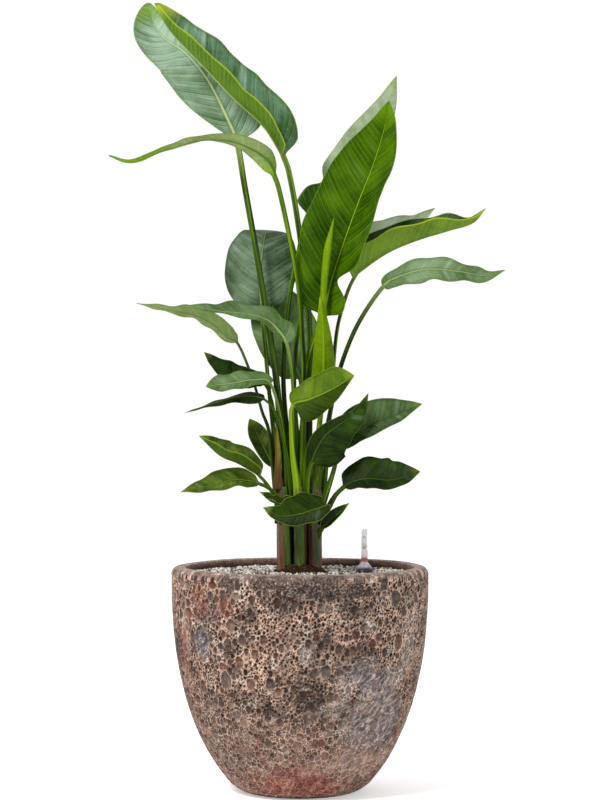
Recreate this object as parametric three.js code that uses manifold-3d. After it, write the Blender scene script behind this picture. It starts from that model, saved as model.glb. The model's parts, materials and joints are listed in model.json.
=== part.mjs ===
// A potted bird of paradise (Strelitzia): a clump of sheathed shoots with its leaves, standing in a soil
// plug that mineral granulate holds in a round ceramic pot, with a water gauge for the reservoir below.
// Millimetres, +Z up. The origin is the middle of the pot's flat base; the fuller side of the plant is -Y.
import * as THREE from 'three';
import { mergeVertices } from 'three/addons/utils/BufferGeometryUtils.js';
import Module from 'manifold-3d';

const wasm = await Module();
wasm.setup();

// ---------------------------------------------------------------- driving dimensions

const GAP = 0.35;                 // clearance between pieces that touch

const POT_RADIUS = 200.5;         // widest, just under the rim
const POT_HEIGHT = 350;
const POT_BASE_RADIUS = 80;       // flat that it stands on
const POT_WALL = 24;
const POT_FLOOR = 24;
const POT_LIP = 12;               // radius of the rounded lip
const POT_SIDES = 40;

const GRANULATE_TOP = 338;        // mean level of the granulate, a little under the rim
const HEAP_HEIGHT = 2.4;          // the granulate lies in low heaps this high and this far apart
const HEAP_SPACING = 44;
const GRANULATE_SIDES = POT_SIDES;

const SOIL_RADIUS = 39;           // where the soil plug shows through the granulate
const SOIL_TOP = 346;
const ROOT_BALL_RADIUS = 104;
const ROOT_BALL_BOTTOM = 120;
const SOIL_SIDES = 24;

const SHOOT_FOOT = 305;           // the shoots go this deep into the soil
const SHOOT_TOP = 474;
const SHOOT_SIDES = 20;

const BLADE_THICKNESS = 1.1;
const EDGE_THICKNESS = 0.9;

const GAUGE_PLACE = [101, 15];    // axis of the water gauge
const GAUGE_FOOT = 74;
const GAUGE_COLLAR_TOP = 344.4;
const GAUGE_TOP = 407;

// Points on the plant are [across, up, depth]: across and up as seen in the plane of the pot's axis from
// an eye 3.5 m in front of it at mid height, and depth behind (+) or before (-) that plane.
const EYE_DISTANCE = 3500;
const EYE_HEIGHT = 609;

// ---------------------------------------------------------------- the leaves

// stalk: from its foot in a shoot up to the blade; rib: from the blade's base to its tip.
// face: the way the upper side looks at base, middle and tip. half: width of the left and right half.
// fold: degrees that each half rises from the rib; curl: degrees more from there to its edge.
// wide: where along the rib the blade is widest; swell: how slowly it widens up to there; taper: how
// blunt it is from there to the tip. pinch: where and how deep the right half is drawn in.
// lobe: how far the base reaches back beside the stalk. wave: height of the edge's waves, how many, and
// where they start. girth: radius of the stalk at its foot and at the blade. Large blades are fine.
const LEAVES = [
  { name: 'leaf_top_left_rear', fine: true,
    stalk: [[-28.5, 416, -4], [-30, 480, -4], [-30, 550, -2], [-37, 640, 6], [-52, 742, 16],
      [-70, 850, 22], [-86, 940, 26]],
    rib: [[-98, 1010, 30], [-114, 1050, 34], [-143, 1107, 44], [-178, 1150, 56], [-220, 1182, 66],
      [-238, 1230, 72]],
    face: [[-0.2, -1, 0.15], [-0.3, -1, 0.25], [-0.1, -1, 0.5]],
    half: [55, 58], fold: [14, 14], curl: [10, 10], wide: [0.46, 0.18], swell: [1.6, 0.42],
    taper: [2.6, 1.1], lobe: 0.25, wave: [2, 5, 0.1], girth: [6.2, 4.8], color: 'sheen' },
  { name: 'leaf_top_left_front', fine: true,
    stalk: [[5, 416, -2], [12, 500, 5], [15, 580, 11], [16, 645, 15], [16, 706, 17], [11, 778, 16],
      [-2, 879, 8], [-14, 950, -2]],
    rib: [[-25, 988, -10], [-54, 1036, -18], [-106, 1084, -24], [-150, 1130, -28], [-203, 1186, -30],
      [-228, 1229, -32]],
    face: [[0.4, -0.85, 0.3], [0.5, -0.72, 0.5], [0.5, -0.75, 0.5]],
    half: [32, 50], fold: [74, 38], curl: [26, -6], wide: 0.3, taper: 2.6, lobe: 0.2, wave: [2, 4, 0.3],
    girth: [5, 4.6], color: 'sheen' },
  { name: 'leaf_long_left', fine: true,
    stalk: [[4.5, 416, -11.5], [4, 520, -12], [6, 645, -14], [3, 706, -14], [-3, 787, -14],
      [-14, 850, -15], [-30, 925, -18]],
    rib: [[-39, 956, -20], [-57, 990, -26], [-100, 1013, -40], [-150, 1016, -52], [-205, 1002, -62],
      [-262, 981, -72], [-300, 991, -80]],
    face: [[-0.6, 0.45, 0.6], [0.1, 0.24, 0.96], [0.1, 0.24, 0.96]],
    half: [17, 18], fold: [6, 6], curl: [6, 6], wide: 0.24, taper: 1.7, lobe: 0.2, wave: [2, 4, 0],
    girth: [4.8, 4.2], color: 'young' },
  { name: 'leaf_round_rear', fine: true,
    stalk: [[-22, 416, 10.5], [-34, 500, 14], [-48, 620, 24], [-55, 700, 34]],
    rib: [[-60, 752, 42], [-63, 800, 50], [-58, 848, 68], [-52, 873, 98], [-46, 869, 134]],
    face: [[0, -1, 0.1], [0, -1, 0.45], [0, -0.3, 1]],
    half: [56, 58], fold: [2, 2], curl: [-8, -8], wide: 0.34, taper: 2.4, lobe: 0.16, wave: [1.5, 4, 0.2],
    girth: [3.8, 3.2], color: 'sheen' },
  { name: 'leaf_tall_centre', fine: true,
    stalk: [[-3.5, 416, 5], [0, 500, 3], [6, 600, 0], [14, 680, -3]],
    rib: [[36, 738, 2], [53, 806, -2], [85, 900, -6], [115, 978, -6], [132, 1034, -4], [139, 1077, 0]],
    face: [[-0.3, -1, 0.1], [-0.4, -0.9, 0.15], [-0.3, -0.9, 0.2]],
    half: [70, 62], fold: [24, 30], curl: [8, 12], wide: [0.42, 0.5], swell: [0.55, 0.25],
    taper: [2.2, 2.7], lobe: 0.24, pinch: [0.18, 0.72], wave: [4, 3, 0.1], girth: [4.6, 4.1],
    color: 'bright' },
  { name: 'leaf_tall_rear',
    stalk: [[-3.5, 416, 14], [-16, 520, 20], [-26, 642, 26], [-19, 750, 28], [-2, 842, 32]],
    rib: [[13, 896, 34], [54, 946, 40], [98, 1006, 45], [132, 1062, 46], [151, 1116, 44]],
    face: [[0.1, 1, 0.2], [-0.1, 1, 0.1], [0, 1, 0]],
    half: [40, 36], fold: [18, 12], curl: [16, 12], wide: [0.36, 0.5], swell: [0.45, 0.14],
    taper: [1.7, 1.7], lobe: 0.3, pinch: [0.22, 0.45], wave: [2, 4, 0.4], girth: [4, 3.7],
    color: 'under' },
  { name: 'leaf_right_rear',
    stalk: [[5.5, 416, 8], [-2, 520, 18], [-9, 645, 24], [3, 750, 36], [30, 806, 46]],
    rib: [[62, 840, 50], [100, 860, 56], [140, 873, 62], [180, 886, 66], [211, 909, 68]],
    face: [[0, 0.6, 0.8], [0, 0.55, 0.85], [0, 0.6, 0.8]],
    half: [28, 30], fold: [10, 8], curl: [6, 6], wide: 0.35, taper: 1.9, lobe: 0.12, wave: [1.5, 3, 0],
    girth: [3.7, 3.3], color: 'under' },
  { name: 'leaf_right_folded',
    stalk: [[28.5, 416, 6.5], [40, 520, 8], [48, 609, 8], [55, 701, 8], [64, 748, 8]],
    rib: [[82, 797, 8], [104, 818, 6], [142, 842, 2], [185, 859, -2], [232, 873, -8], [270, 885, -12],
      [291, 909, -14]],
    face: [[-0.4, -0.2, 0.9], [-0.3, -0.25, 0.95], [-0.2, -0.3, 0.9]],
    half: [40, 42], fold: [58, 46], curl: [10, 24], wide: 0.3, taper: 1.9, lobe: 0.14, wave: [2, 4, 0.3],
    girth: [4.2, 3.6], color: 'mixed' },
  { name: 'leaf_right_long',
    stalk: [[22, 416, 12], [38, 530, 20], [46, 584, 20], [62, 656, 12], [89, 725, -8]],
    rib: [[128, 784, -28], [156, 802, -36], [200, 813, -44], [250, 809, -50], [290, 803, -56],
      [321, 812, -58]],
    face: [[0, -0.75, 0.7], [0.05, -0.75, 0.65], [0.1, -0.7, 0.7]],
    half: [21, 23], fold: [18, 4], curl: [6, -20], wide: 0.4, swell: 0.7, taper: 2, lobe: 0.4,
    wave: [2.5, 4, 0.1], girth: [4, 3.6], color: 'sheen' },
  { name: 'leaf_front_centre', fine: true,
    stalk: [[-3, 416, -21], [-4, 470, -23], [-11, 520, -26], [-14, 565, -30]],
    rib: [[-12, 600, -34], [14, 610, -48], [46, 624, -66], [85, 647, -88]],
    face: [[-0.1, -0.96, 0.25], [-0.25, -0.92, -0.2], [-0.3, -0.8, -0.5]],
    half: [31, 34], fold: [-4, -16], curl: [-6, -20], wide: [0.45, 0.22], swell: 0.4,
    taper: [6, 1.3], lobe: 0.3, wave: [1.5, 2, 0],
    girth: [4.2, 3], color: 'young' },
  { name: 'leaf_left_slim',
    stalk: [[-30, 416, 6], [-38, 470, 10], [-48, 557, 14], [-59, 590, 15], [-70, 629, 16],
      [-81, 661, 17]],
    rib: [[-97, 697, 18], [-113, 709, 18], [-136, 728, 18], [-166, 742, 16], [-206, 750, 14],
      [-256, 760, 10]],
    face: [[-0.3, 0.4, 0.85], [0, 0.36, 0.94], [0.1, 0.3, 0.94]],
    half: [28, 21], fold: [2, 2], curl: [4, 4], wide: 0.35, taper: 1.7, lobe: 0.14, wave: [1.5, 4, 0],
    girth: [3.2, 2.2], color: 'under' },
  { name: 'leaf_left_rear',
    stalk: [[-4.5, 416, -4.5], [-8, 520, -6], [-10, 600, -6], [-12, 648, -5]],
    rib: [[-20, 696, -4], [-33, 717, -8], [-52, 734, -16], [-85, 743, -26], [-130, 748, -36],
      [-178, 757, -44]],
    face: [[-0.5, -0.7, 0.5], [0.05, -0.5, 0.9], [0.1, -0.4, 0.9]],
    half: [10, 33], fold: [0, 4], curl: [-24, 10], wide: 0.4, taper: 1.8, lobe: 0.3, pinch: [0.2, 0.4],
    wave: [2, 3, 0.2], girth: [4, 3.4], color: 'sheen' },
  { name: 'leaf_rear_centre',
    stalk: [[4, 416, 20], [6, 500, 40], [4, 590, 58]],
    rib: [[0, 640, 66], [-16, 690, 74], [-34, 734, 84], [-52, 778, 98], [-66, 806, 116]],
    face: [[0, -1, 0.05], [0, -1, 0.2], [0, -0.9, 0.6]],
    half: [49, 56], fold: [10, 8], curl: [10, 10], wide: 0.42, taper: 1.9, lobe: 0.14, wave: [2.5, 4, 0.5],
    girth: [3.8, 2.8], color: 'sheen' },
  { name: 'leaf_left_mid_rear',
    stalk: [[-17.5, 416, 3], [-26, 500, 5], [-38, 580, 6]],
    rib: [[-54, 632, 4], [-90, 640, 4], [-122, 656, 4], [-150, 684, 4]],
    face: [[0.1, -0.8, 0.6], [0.2, -0.8, 0.6], [0.2, -0.9, 0.4]],
    half: [18, 22], fold: [10, 20], curl: [8, 8], wide: 0.4, taper: 1.9, lobe: 0.1, wave: [1.5, 3, 0],
    girth: [3, 2.2], color: 'deep' },
  { name: 'leaf_left_mid',
    stalk: [[-17.5, 416, -5.5], [-20, 500, -9], [-28, 570, -12]],
    rib: [[-46, 634, -16], [-74, 640, -24], [-106, 635, -32], [-147, 630, -40]],
    face: [[0, -0.7, 0.7], [0.1, -0.8, 0.6], [0, -0.8, 0.6]],
    half: [13, 17], fold: [4, 14], curl: [-10, 8], wide: 0.6, taper: 4, lobe: 0.6, wave: [2, 3, 0.4],
    girth: [3.4, 2.4], color: 'sheen' },
  { name: 'leaf_left_drooping',
    stalk: [[-5.5, 416, -13], [-14, 470, -20], [-22, 530, -25], [-38, 588, -24]],
    rib: [[-54, 609, -20], [-76, 615, -16], [-100, 613, -12], [-134, 604, -10], [-180, 589, -10]],
    face: [[0.3, -0.5, 0.85], [0.1, -0.4, 0.92], [0.1, -0.4, 0.92]],
    half: [12, 18], fold: [-40, 0], curl: [-40, -10], wide: 0.2, taper: 0.9, lobe: 0.1, wave: [1, 3, 0],
    girth: [3.4, 2.2], color: 'deep' },
  { name: 'leaf_left_small_upright',
    stalk: [[-28.5, 416, 15], [-34, 460, 24]],
    rib: [[-42, 503, 32], [-51, 524, 33], [-63, 549, 31], [-79, 580, 27]],
    face: [[-0.2, -1, 0.1], [-0.2, -1, 0.1], [-0.2, -1, 0.1]],
    half: [15, 18], fold: [14, 14], curl: [14, 14], wide: 0.6, taper: 2.4, lobe: 0, wave: [0.6, 2, 0],
    girth: [2.8, 2.4], color: 'bright' },
  { name: 'leaf_left_low_folded',
    stalk: [[-27, 416, -14], [-36, 452, -18], [-48, 473, -20]],
    rib: [[-61, 489, -22], [-78, 500, -26], [-98, 511, -30], [-126, 523, -36], [-158, 553, -44]],
    face: [[0.3, -0.3, 0.9], [0.3, -0.25, 0.9], [0.2, -0.3, 0.9]],
    half: [24, 30], fold: [46, 46], curl: [16, 22], wide: 0.36, taper: 3, lobe: 0.1, wave: [1, 3, 0],
    girth: [2.8, 2], color: 'mixed' },
  { name: 'leaf_left_lowest',
    stalk: [[-18.5, 416, -14], [-30, 450, -22], [-46, 470, -32]],
    rib: [[-62, 478, -42], [-82, 483, -54], [-106, 484, -66], [-138, 475, -80], [-187, 465, -98]],
    face: [[0.1, -0.6, 0.8], [0.1, -0.55, 0.85], [0.1, -0.5, 0.9]],
    half: [13, 25], fold: [-10, 14], curl: [-20, 6], wide: 0.36, taper: 1.9, lobe: 0.1, wave: [1.5, 3, 0.3],
    girth: [2.8, 2], color: 'deep' },
  { name: 'leaf_low_curled',
    stalk: [[5, 416, -20], [2, 440, -29]],
    rib: [[-8, 451, -34], [-25, 448, -39], [-44, 450, -43], [-64, 466, -44]],
    face: [[0, -0.4, 0.9], [0, -0.35, 0.95], [0.5, -0.4, 0.8]],
    half: [14, 14], fold: [20, 30], curl: [20, 30], wide: 0.45, taper: 2, lobe: 0.2, wave: [2, 3, 0.4],
    girth: [2.8, 2.2], color: 'deep' },
  { name: 'leaf_low_front',
    stalk: [[17, 416, -14.5], [30, 430, -28]],
    rib: [[44, 444, -38], [24, 438, -52], [-4, 430, -62], [-32, 428, -68], [-58, 441, -72]],
    face: [[-0.3, -0.5, 0.8], [0, -0.6, 0.8], [0.3, -0.5, 0.8]],
    half: [19, 35], fold: [-20, 20], curl: [-24, 10], wide: 0.36, taper: 1.9, lobe: 0.3, wave: [1.5, 3, 0],
    girth: [2.8, 2.4], color: 'bright' },
  { name: 'leaf_right_low_small',
    stalk: [[24, 392, -12], [29, 399, -17]],
    rib: [[34, 408, -22], [46, 419, -27], [60, 432, -32], [77, 448, -36]],
    face: [[-0.3, -0.9, 0.3], [-0.3, -0.9, 0.3], [-0.3, -0.9, 0.3]],
    half: [12, 8], fold: [20, 20], curl: [10, 10], wide: 0.4, taper: 1.9, lobe: 0, wave: [0.6, 2, 0],
    girth: [2.6, 2.2], color: 'bright' },
  { name: 'leaf_right_dark',
    stalk: [[15.5, 416, -6.5], [12, 448, -14], [12, 482, -23]],
    rib: [[17, 508, -30], [24, 528, -34], [38, 552, -38], [62, 571, -42], [86, 588, -46],
      [107, 620, -48]],
    face: [[0.1, -1, 0.1], [0.1, -1, 0.2], [0.1, -1, 0.1]],
    half: [18, 45], fold: [16, 8], curl: [10, -14], wide: 0.3, taper: 1.15, lobe: 0.2, wave: [1.5, 3, 0],
    girth: [2.8, 2.4], color: 'deep' },
  { name: 'leaf_right_mid',
    stalk: [[26, 416, -12], [39, 457, -16], [53, 500, -19]],
    rib: [[62, 534, -21], [96, 563, -24], [146, 584, -24], [191, 603, -22]],
    face: [[0, -0.85, 0.5], [0, -0.85, 0.5], [0, -0.85, 0.5]],
    half: [38, 19], fold: [22, 10], curl: [10, -10], wide: 0.36, taper: 2.1, lobe: 0.2, wave: [1.5, 3, 0.2],
    girth: [3.2, 2.4], color: 'deep' },
  { name: 'leaf_right_low',
    stalk: [[29.5, 416, -4.5], [47, 446, -8], [55, 460, -11]],
    rib: [[67, 472, -16], [80, 480, -20], [106, 486, -26], [146, 484, -32], [188, 497, -36]],
    face: [[0, -0.8, 0.6], [0, -0.8, 0.6], [0, -0.8, 0.6]],
    half: [37, 23], fold: [10, 12], curl: [4, 8], wide: 0.46, taper: 2.6, lobe: 0, wave: [1.5, 4, 0],
    girth: [3, 2.2], color: 'deep' },
  { name: 'leaf_young_boat',
    stalk: [[22, 416, 0], [25, 490, -11], [29, 555, -20]],
    rib: [[33, 594, -25], [36, 640, -28], [37, 690, -30], [35, 735, -31], [31, 772, -29]],
    face: [[0, 1, 0], [0, 1, 0], [0, 1, 0]],
    half: [25, 25], fold: [12, 12], curl: [60, 60], wide: 0.3, swell: 0.42, taper: 1.7, lobe: 0,
    wave: [0, 1, 0], girth: [4.2, 4], color: 'young' },
];

const SWELL = 0.55;
const PINCH_SPAN = 0.05;

const LEAF_COLORS = {
  sheen: 0x55785f,
  young: 0x8fa61f,
  bright: 0x3f7512,
  under: 0x9db08a,
  mixed: 0x6f8a2f,
  deep: 0x2c4a1d,
};

// The rolled new leaf stands in the boat-shaped one.
const SPEAR = {
  name: 'leaf_new_rolled',
  path: [[35, 640, -21.6], [36, 720, -20], [38, 790, -18], [44, 845, -24], [53, 893, -28]],
  radius: [4.6, 5, 5.6, 6.5, 0.6],
};

// ---------------------------------------------------------------- solids

function solidFrom(vertices, triangles) {
  const geometry = new THREE.BufferGeometry();
  geometry.setAttribute('position', new THREE.Float32BufferAttribute(vertices.flat(), 3));
  geometry.setIndex(triangles.flat());
  return facingOut(geometry);
}

function signedVolume(geometry) {
  const at = geometry.attributes.position;
  const index = geometry.index.array;
  const [a, b, c] = [new THREE.Vector3(), new THREE.Vector3(), new THREE.Vector3()];
  let sum = 0;
  for (let i = 0; i < index.length; i += 3) {
    a.fromBufferAttribute(at, index[i]);
    b.fromBufferAttribute(at, index[i + 1]);
    c.fromBufferAttribute(at, index[i + 2]);
    sum += a.dot(b.cross(c)) / 6;
  }
  return sum;
}

function facingOut(geometry) {
  if (signedVolume(geometry) < 0) {
    const index = geometry.index.array;
    for (let i = 0; i < index.length; i += 3) {
      [index[i + 1], index[i + 2]] = [index[i + 2], index[i + 1]];
    }
  }
  return geometry;
}

function merged(geometry) {
  const bare = geometry.clone();
  bare.deleteAttribute('normal');
  bare.deleteAttribute('uv');
  return facingOut(mergeVertices(bare, 1e-4));
}

function toManifold(geometry) {
  const bare = merged(geometry);
  return new wasm.Manifold(new wasm.Mesh({
    numProp: 3,
    vertProperties: new Float32Array(bare.attributes.position.array),
    triVerts: new Uint32Array(bare.index.array),
  }));
}

function fromManifold(manifold) {
  const mesh = manifold.getMesh();
  const geometry = new THREE.BufferGeometry();
  geometry.setAttribute('position', new THREE.Float32BufferAttribute(mesh.vertProperties, 3));
  geometry.setIndex(Array.from(mesh.triVerts));
  return geometry;
}

function cut(geometry, tools) {
  let body = toManifold(geometry);
  for (const tool of tools) {
    body = body.subtract(toManifold(tool));
  }
  return fromManifold(body);
}

function lathe(outline, sides) {
  const geometry = new THREE.LatheGeometry(outline.map(([r, z]) => new THREE.Vector2(r, z)), sides);
  return merged(geometry.rotateX(Math.PI / 2));
}

// Closed skin over rings of equally many points, with a fan at the foot and a point or a fan at the top.
// The faces on both sides of a flat ring are split along the same diagonals.
function loft(rings, foot, top) {
  const count = rings[0].length;
  const half = count / 2;
  const vertices = rings.flat().map((p) => [p.x, p.y, p.z]);
  const triangles = [];
  for (let j = 0; j + 1 < rings.length; j += 1) {
    for (let k = 0; k < count; k += 1) {
      const a = j * count + k;
      const b = j * count + (k + 1) % count;
      const c = a + count;
      const d = b + count;
      if (k < half) {
        triangles.push([a, b, d], [a, d, c]);
      } else {
        triangles.push([a, b, c], [b, d, c]);
      }
    }
  }
  const footIndex = vertices.push([foot.x, foot.y, foot.z]) - 1;
  const topIndex = vertices.push([top.x, top.y, top.z]) - 1;
  const last = (rings.length - 1) * count;
  for (let k = 0; k < count; k += 1) {
    const next = (k + 1) % count;
    triangles.push([footIndex, next, k], [topIndex, last + k, last + next]);
  }
  return solidFrom(vertices, triangles);
}

// ---------------------------------------------------------------- leaf geometry

function sight([across, up, depth]) {
  const scale = 1 + depth / EYE_DISTANCE;
  return new THREE.Vector3(across * scale, depth, EYE_HEIGHT + (up - EYE_HEIGHT) * scale);
}

function curveThrough(points) {
  return new THREE.CatmullRomCurve3(points.map(sight), false, 'catmullrom', 0.5);
}

// Parameters on the curve at the given fractions of its length between parameters from and to.
function walk(curve, from, to, fractions) {
  const STEPS = 120;
  const lengths = [0];
  let before = curve.getPoint(from);
  for (let i = 1; i <= STEPS; i += 1) {
    const point = curve.getPoint(from + (to - from) * i / STEPS);
    lengths.push(lengths[i - 1] + point.distanceTo(before));
    before = point;
  }
  return fractions.map((fraction) => {
    const wanted = fraction * lengths[STEPS];
    let i = 1;
    while (i < STEPS && lengths[i] < wanted) i += 1;
    const part = (wanted - lengths[i - 1]) / (lengths[i] - lengths[i - 1]);
    return from + (to - from) * (i - 1 + part) / STEPS;
  });
}

function smooth(x) {
  const s = Math.min(1, Math.max(0, x));
  return s * s * (3 - 2 * s);
}

function mix(a, b, s) {
  return a + (b - a) * s;
}

function faceAt(leaf, t) {
  const [base, middle, tip] = leaf.face.map((v) => new THREE.Vector3(...v).normalize());
  if (t <= 0) return base;
  return t < 0.5 ? base.lerp(middle, smooth(2 * t)) : middle.lerp(tip, smooth(2 * t - 1));
}

function frameAt(curve, at, face) {
  const along = curve.getTangent(at).normalize();
  const side = along.clone().cross(face).normalize();
  const out = side.clone().cross(along).normalize();
  return { place: curve.getPoint(at), along, side, out };
}

// A value that is one for the whole blade or a pair for its left and right half.
function ofHalf(value, right) {
  return Array.isArray(value) ? value[right] : value;
}

// Width of a half along the blade, from 0 at its base over 1 at the widest place to 0 at the tip.
function outline(leaf, right, t) {
  const wide = ofHalf(leaf.wide, right);
  if (t >= wide) return 1 - ((t - wide) / (1 - wide)) ** ofHalf(leaf.taper, right);
  const [place, depth] = right && leaf.pinch ? leaf.pinch : [0, 0];
  const pinched = 1 - depth * Math.exp(-(((t - place) / PINCH_SPAN) ** 2));
  return pinched * (1 - (1 - t / wide) ** 2.4) ** ofHalf(leaf.swell ?? SWELL, right);
}

// Points across the blade: 2 * columns + 1 on the upper side and as many underneath.
function columnPlaces(columns) {
  return columns === 3 ? [-1, -0.66, -0.3, 0, 0.3, 0.66, 1] : [-1, -0.5, 0, 0.5, 1];
}

function stalkRing(frame, radius, columns) {
  const upper = 2 * columns + 1;
  const ring = [];
  for (let i = 0; i < 2 * upper; i += 1) {
    const angle = Math.PI - Math.PI * (i + 0.5) / upper;
    const height = Math.sin(angle) * (i < upper ? 0.6 : 1);
    ring.push(frame.place.clone()
      .addScaledVector(frame.side, radius * Math.cos(angle))
      .addScaledVector(frame.out, radius * height));
  }
  return ring;
}

function bladePoint(leaf, frame, t, u) {
  const right = u > 0 ? 1 : 0;
  const reach = Math.abs(u);
  const width = leaf.half[right] * outline(leaf, right, t);
  const start = THREE.MathUtils.degToRad(leaf.fold[right]);
  const bend = THREE.MathUtils.degToRad(leaf.curl[right]) || 1e-6;
  const end = start + bend * reach;
  const across = width * (Math.sin(end) - Math.sin(start)) / bend * (right ? 1 : -1);
  const rise = width * (Math.cos(start) - Math.cos(end)) / bend;
  const [height, count, phase] = leaf.wave;
  const calm = Math.min(1, 5 * t, 5 * (1 - t));
  const wave = height * calm * reach * reach * Math.sin(2 * Math.PI * (count * t + phase + 0.37 * right));
  const back = leaf.lobe * leaf.half[right] * Math.max(0, 1 - t / 0.3) ** 2 * reach * reach;
  const tilt = right ? -end : end;
  return {
    place: frame.place.clone()
      .addScaledVector(frame.side, across)
      .addScaledVector(frame.out, rise + wave)
      .addScaledVector(frame.along, -back),
    normal: frame.out.clone().multiplyScalar(Math.cos(tilt))
      .addScaledVector(frame.side, Math.sin(tilt)),
  };
}

function bladeRing(leaf, frame, t, columns, ribRadius) {
  const top = [];
  const under = [];
  for (const u of columnPlaces(columns)) {
    const { place, normal } = bladePoint(leaf, frame, t, u);
    const thick = mix(BLADE_THICKNESS, EDGE_THICKNESS, Math.abs(u)) / 2;
    const keel = u === 0 ? ribRadius * (1 - t) ** 1.3 : 0;
    top.push(place.clone().addScaledVector(normal, thick));
    under.unshift(place.clone().addScaledVector(normal, -thick - keel));
  }
  return [...top, ...under];
}

const BLADE_BLEND = 0.07;         // the stalk runs into the blade over this part of the rib

function leafSolid(leaf) {
  const columns = leaf.fine ? 3 : 2;
  const curve = curveThrough([...leaf.stalk, ...leaf.rib]);
  const base = leaf.stalk.length / (leaf.stalk.length + leaf.rib.length - 1);
  const [footRadius, topRadius] = leaf.girth;
  const steps = leaf.stalk.length + 2;
  const rings = [];
  for (const at of walk(curve, 0, base, Array.from({ length: steps }, (_, i) => i / steps))) {
    const radius = mix(footRadius, topRadius, smooth(at / base * 1.4));
    rings.push(stalkRing(frameAt(curve, at, faceAt(leaf, 0)), radius, columns));
  }
  const parts = leaf.fine
    ? [0, 0.025, 0.07, 0.14, 0.25, 0.37, 0.5, 0.63, 0.76, 0.87, 0.95]
    : [0, 0.03, 0.08, 0.17, 0.32, 0.49, 0.66, 0.82, 0.94];
  walk(curve, base, 1, parts).forEach((at, i) => {
    const t = parts[i];
    const frame = frameAt(curve, at, faceAt(leaf, t));
    const blade = bladeRing(leaf, frame, t, columns, topRadius);
    const blend = smooth(t / BLADE_BLEND);
    rings.push(stalkRing(frame, topRadius, columns).map((p, k) => p.lerp(blade[k], blend)));
  });
  return loft(rings, curve.getPoint(0), curve.getPoint(1));
}

// The hollow that a leaf's stalk stands in: the stalk's own form, larger by the gap all round.
function stalkSocket(leaf) {
  const columns = leaf.fine ? 3 : 2;
  const curve = curveThrough([...leaf.stalk, ...leaf.rib]);
  const base = leaf.stalk.length / (leaf.stalk.length + leaf.rib.length - 1);
  const [footRadius, topRadius] = leaf.girth;
  const steps = leaf.stalk.length + 2;
  const frames = walk(curve, 0, base, Array.from({ length: steps }, (_, i) => i / steps))
    .map((at) => ({ at, frame: frameAt(curve, at, faceAt(leaf, 0)) }));
  frames[0].frame.place.addScaledVector(frames[0].frame.along, -GAP);
  const rings = frames.map(({ at, frame }) => {
    const radius = mix(footRadius, topRadius, smooth(at / base * 1.4));
    return stalkRing(frame, radius + 1.6 * GAP, columns);
  });
  return loft(rings, frames[0].frame.place, frames[steps - 1].frame.place);
}

function spearSolid() {
  const curve = curveThrough(SPEAR.path);
  const SIDES = 10;
  const STEPS = 12;
  const rings = [];
  for (let j = 0; j < STEPS; j += 1) {
    const at = j / STEPS;
    const place = at * (SPEAR.radius.length - 1);
    const i = Math.floor(place);
    const radius = mix(SPEAR.radius[i], SPEAR.radius[i + 1], smooth(place - i));
    const frame = frameAt(curve, at, new THREE.Vector3(0, -1, 0));
    const ring = [];
    for (let k = 0; k < SIDES; k += 1) {
      const turn = k / SIDES;
      const angle = -2 * Math.PI * turn + 3 * at;
      const lip = radius * (0.82 + 0.3 * turn);        // the free edge of the roll stands proud
      ring.push(frame.place.clone()
        .addScaledVector(frame.side, lip * Math.cos(angle))
        .addScaledVector(frame.out, lip * Math.sin(angle)));
    }
    rings.push(ring);
  }
  return loft(rings, curve.getPoint(0), curve.getPoint(1));
}

// ---------------------------------------------------------------- shoots and dry sheaths

// Flattened shoots of old leaf sheaths, each [name, x, y, half width, half depth, first edge's angle].
const SHOOTS = [
  ['shoot_left', -23, 1, 12.5, 21, 0.6],
  ['shoot_middle', 0.5, 0, 10.4, 27, 2.1],
  ['shoot_right', 22.6, 1, 11, 20, 1.2],
];

function shootRing([, x, y, halfWidth, halfDepth, first], level, grow, shrink) {
  const ring = [];
  for (let k = 0; k < SHOOT_SIDES; k += 1) {
    const angle = 2 * Math.PI * k / SHOOT_SIDES;
    const edge = ((angle / (2 * Math.PI) * 5 + first + level / 400) % 1);    // five overlapping sheaths
    const relief = 1 - 0.07 * edge;
    ring.push(new THREE.Vector3(
      x + (halfWidth * relief * shrink + grow) * Math.cos(angle),
      y + (halfDepth * relief * shrink + grow) * Math.sin(angle),
      level,
    ));
  }
  return ring;
}

function shootSolid(shoot, grow = 0) {
  const levels = [SHOOT_FOOT - grow, 350, 410, SHOOT_TOP - 12, SHOOT_TOP - 3];
  const rings = levels.map((level, i) => shootRing(shoot, level, grow, i === 4 ? 0.86 : 1));
  const [, x, y] = shoot;
  return loft(rings, new THREE.Vector3(x, y, levels[0]), new THREE.Vector3(x, y, SHOOT_TOP + 2));
}

// Old dry sheaths that still wrap a stalk or a shoot: [name, leaf that it wraps, bottom, top, turn of its
// middle, degrees that it reaches round].
const DRY_SHEATHS = [
  ['dry_sheath_left', 'leaf_top_left_rear', 480, 566, -145, 170],
  ['dry_sheath_right', 'leaf_young_boat', 480, 540, -90, 200],
];
const SHEATH_THICKNESS = 1;

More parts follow.
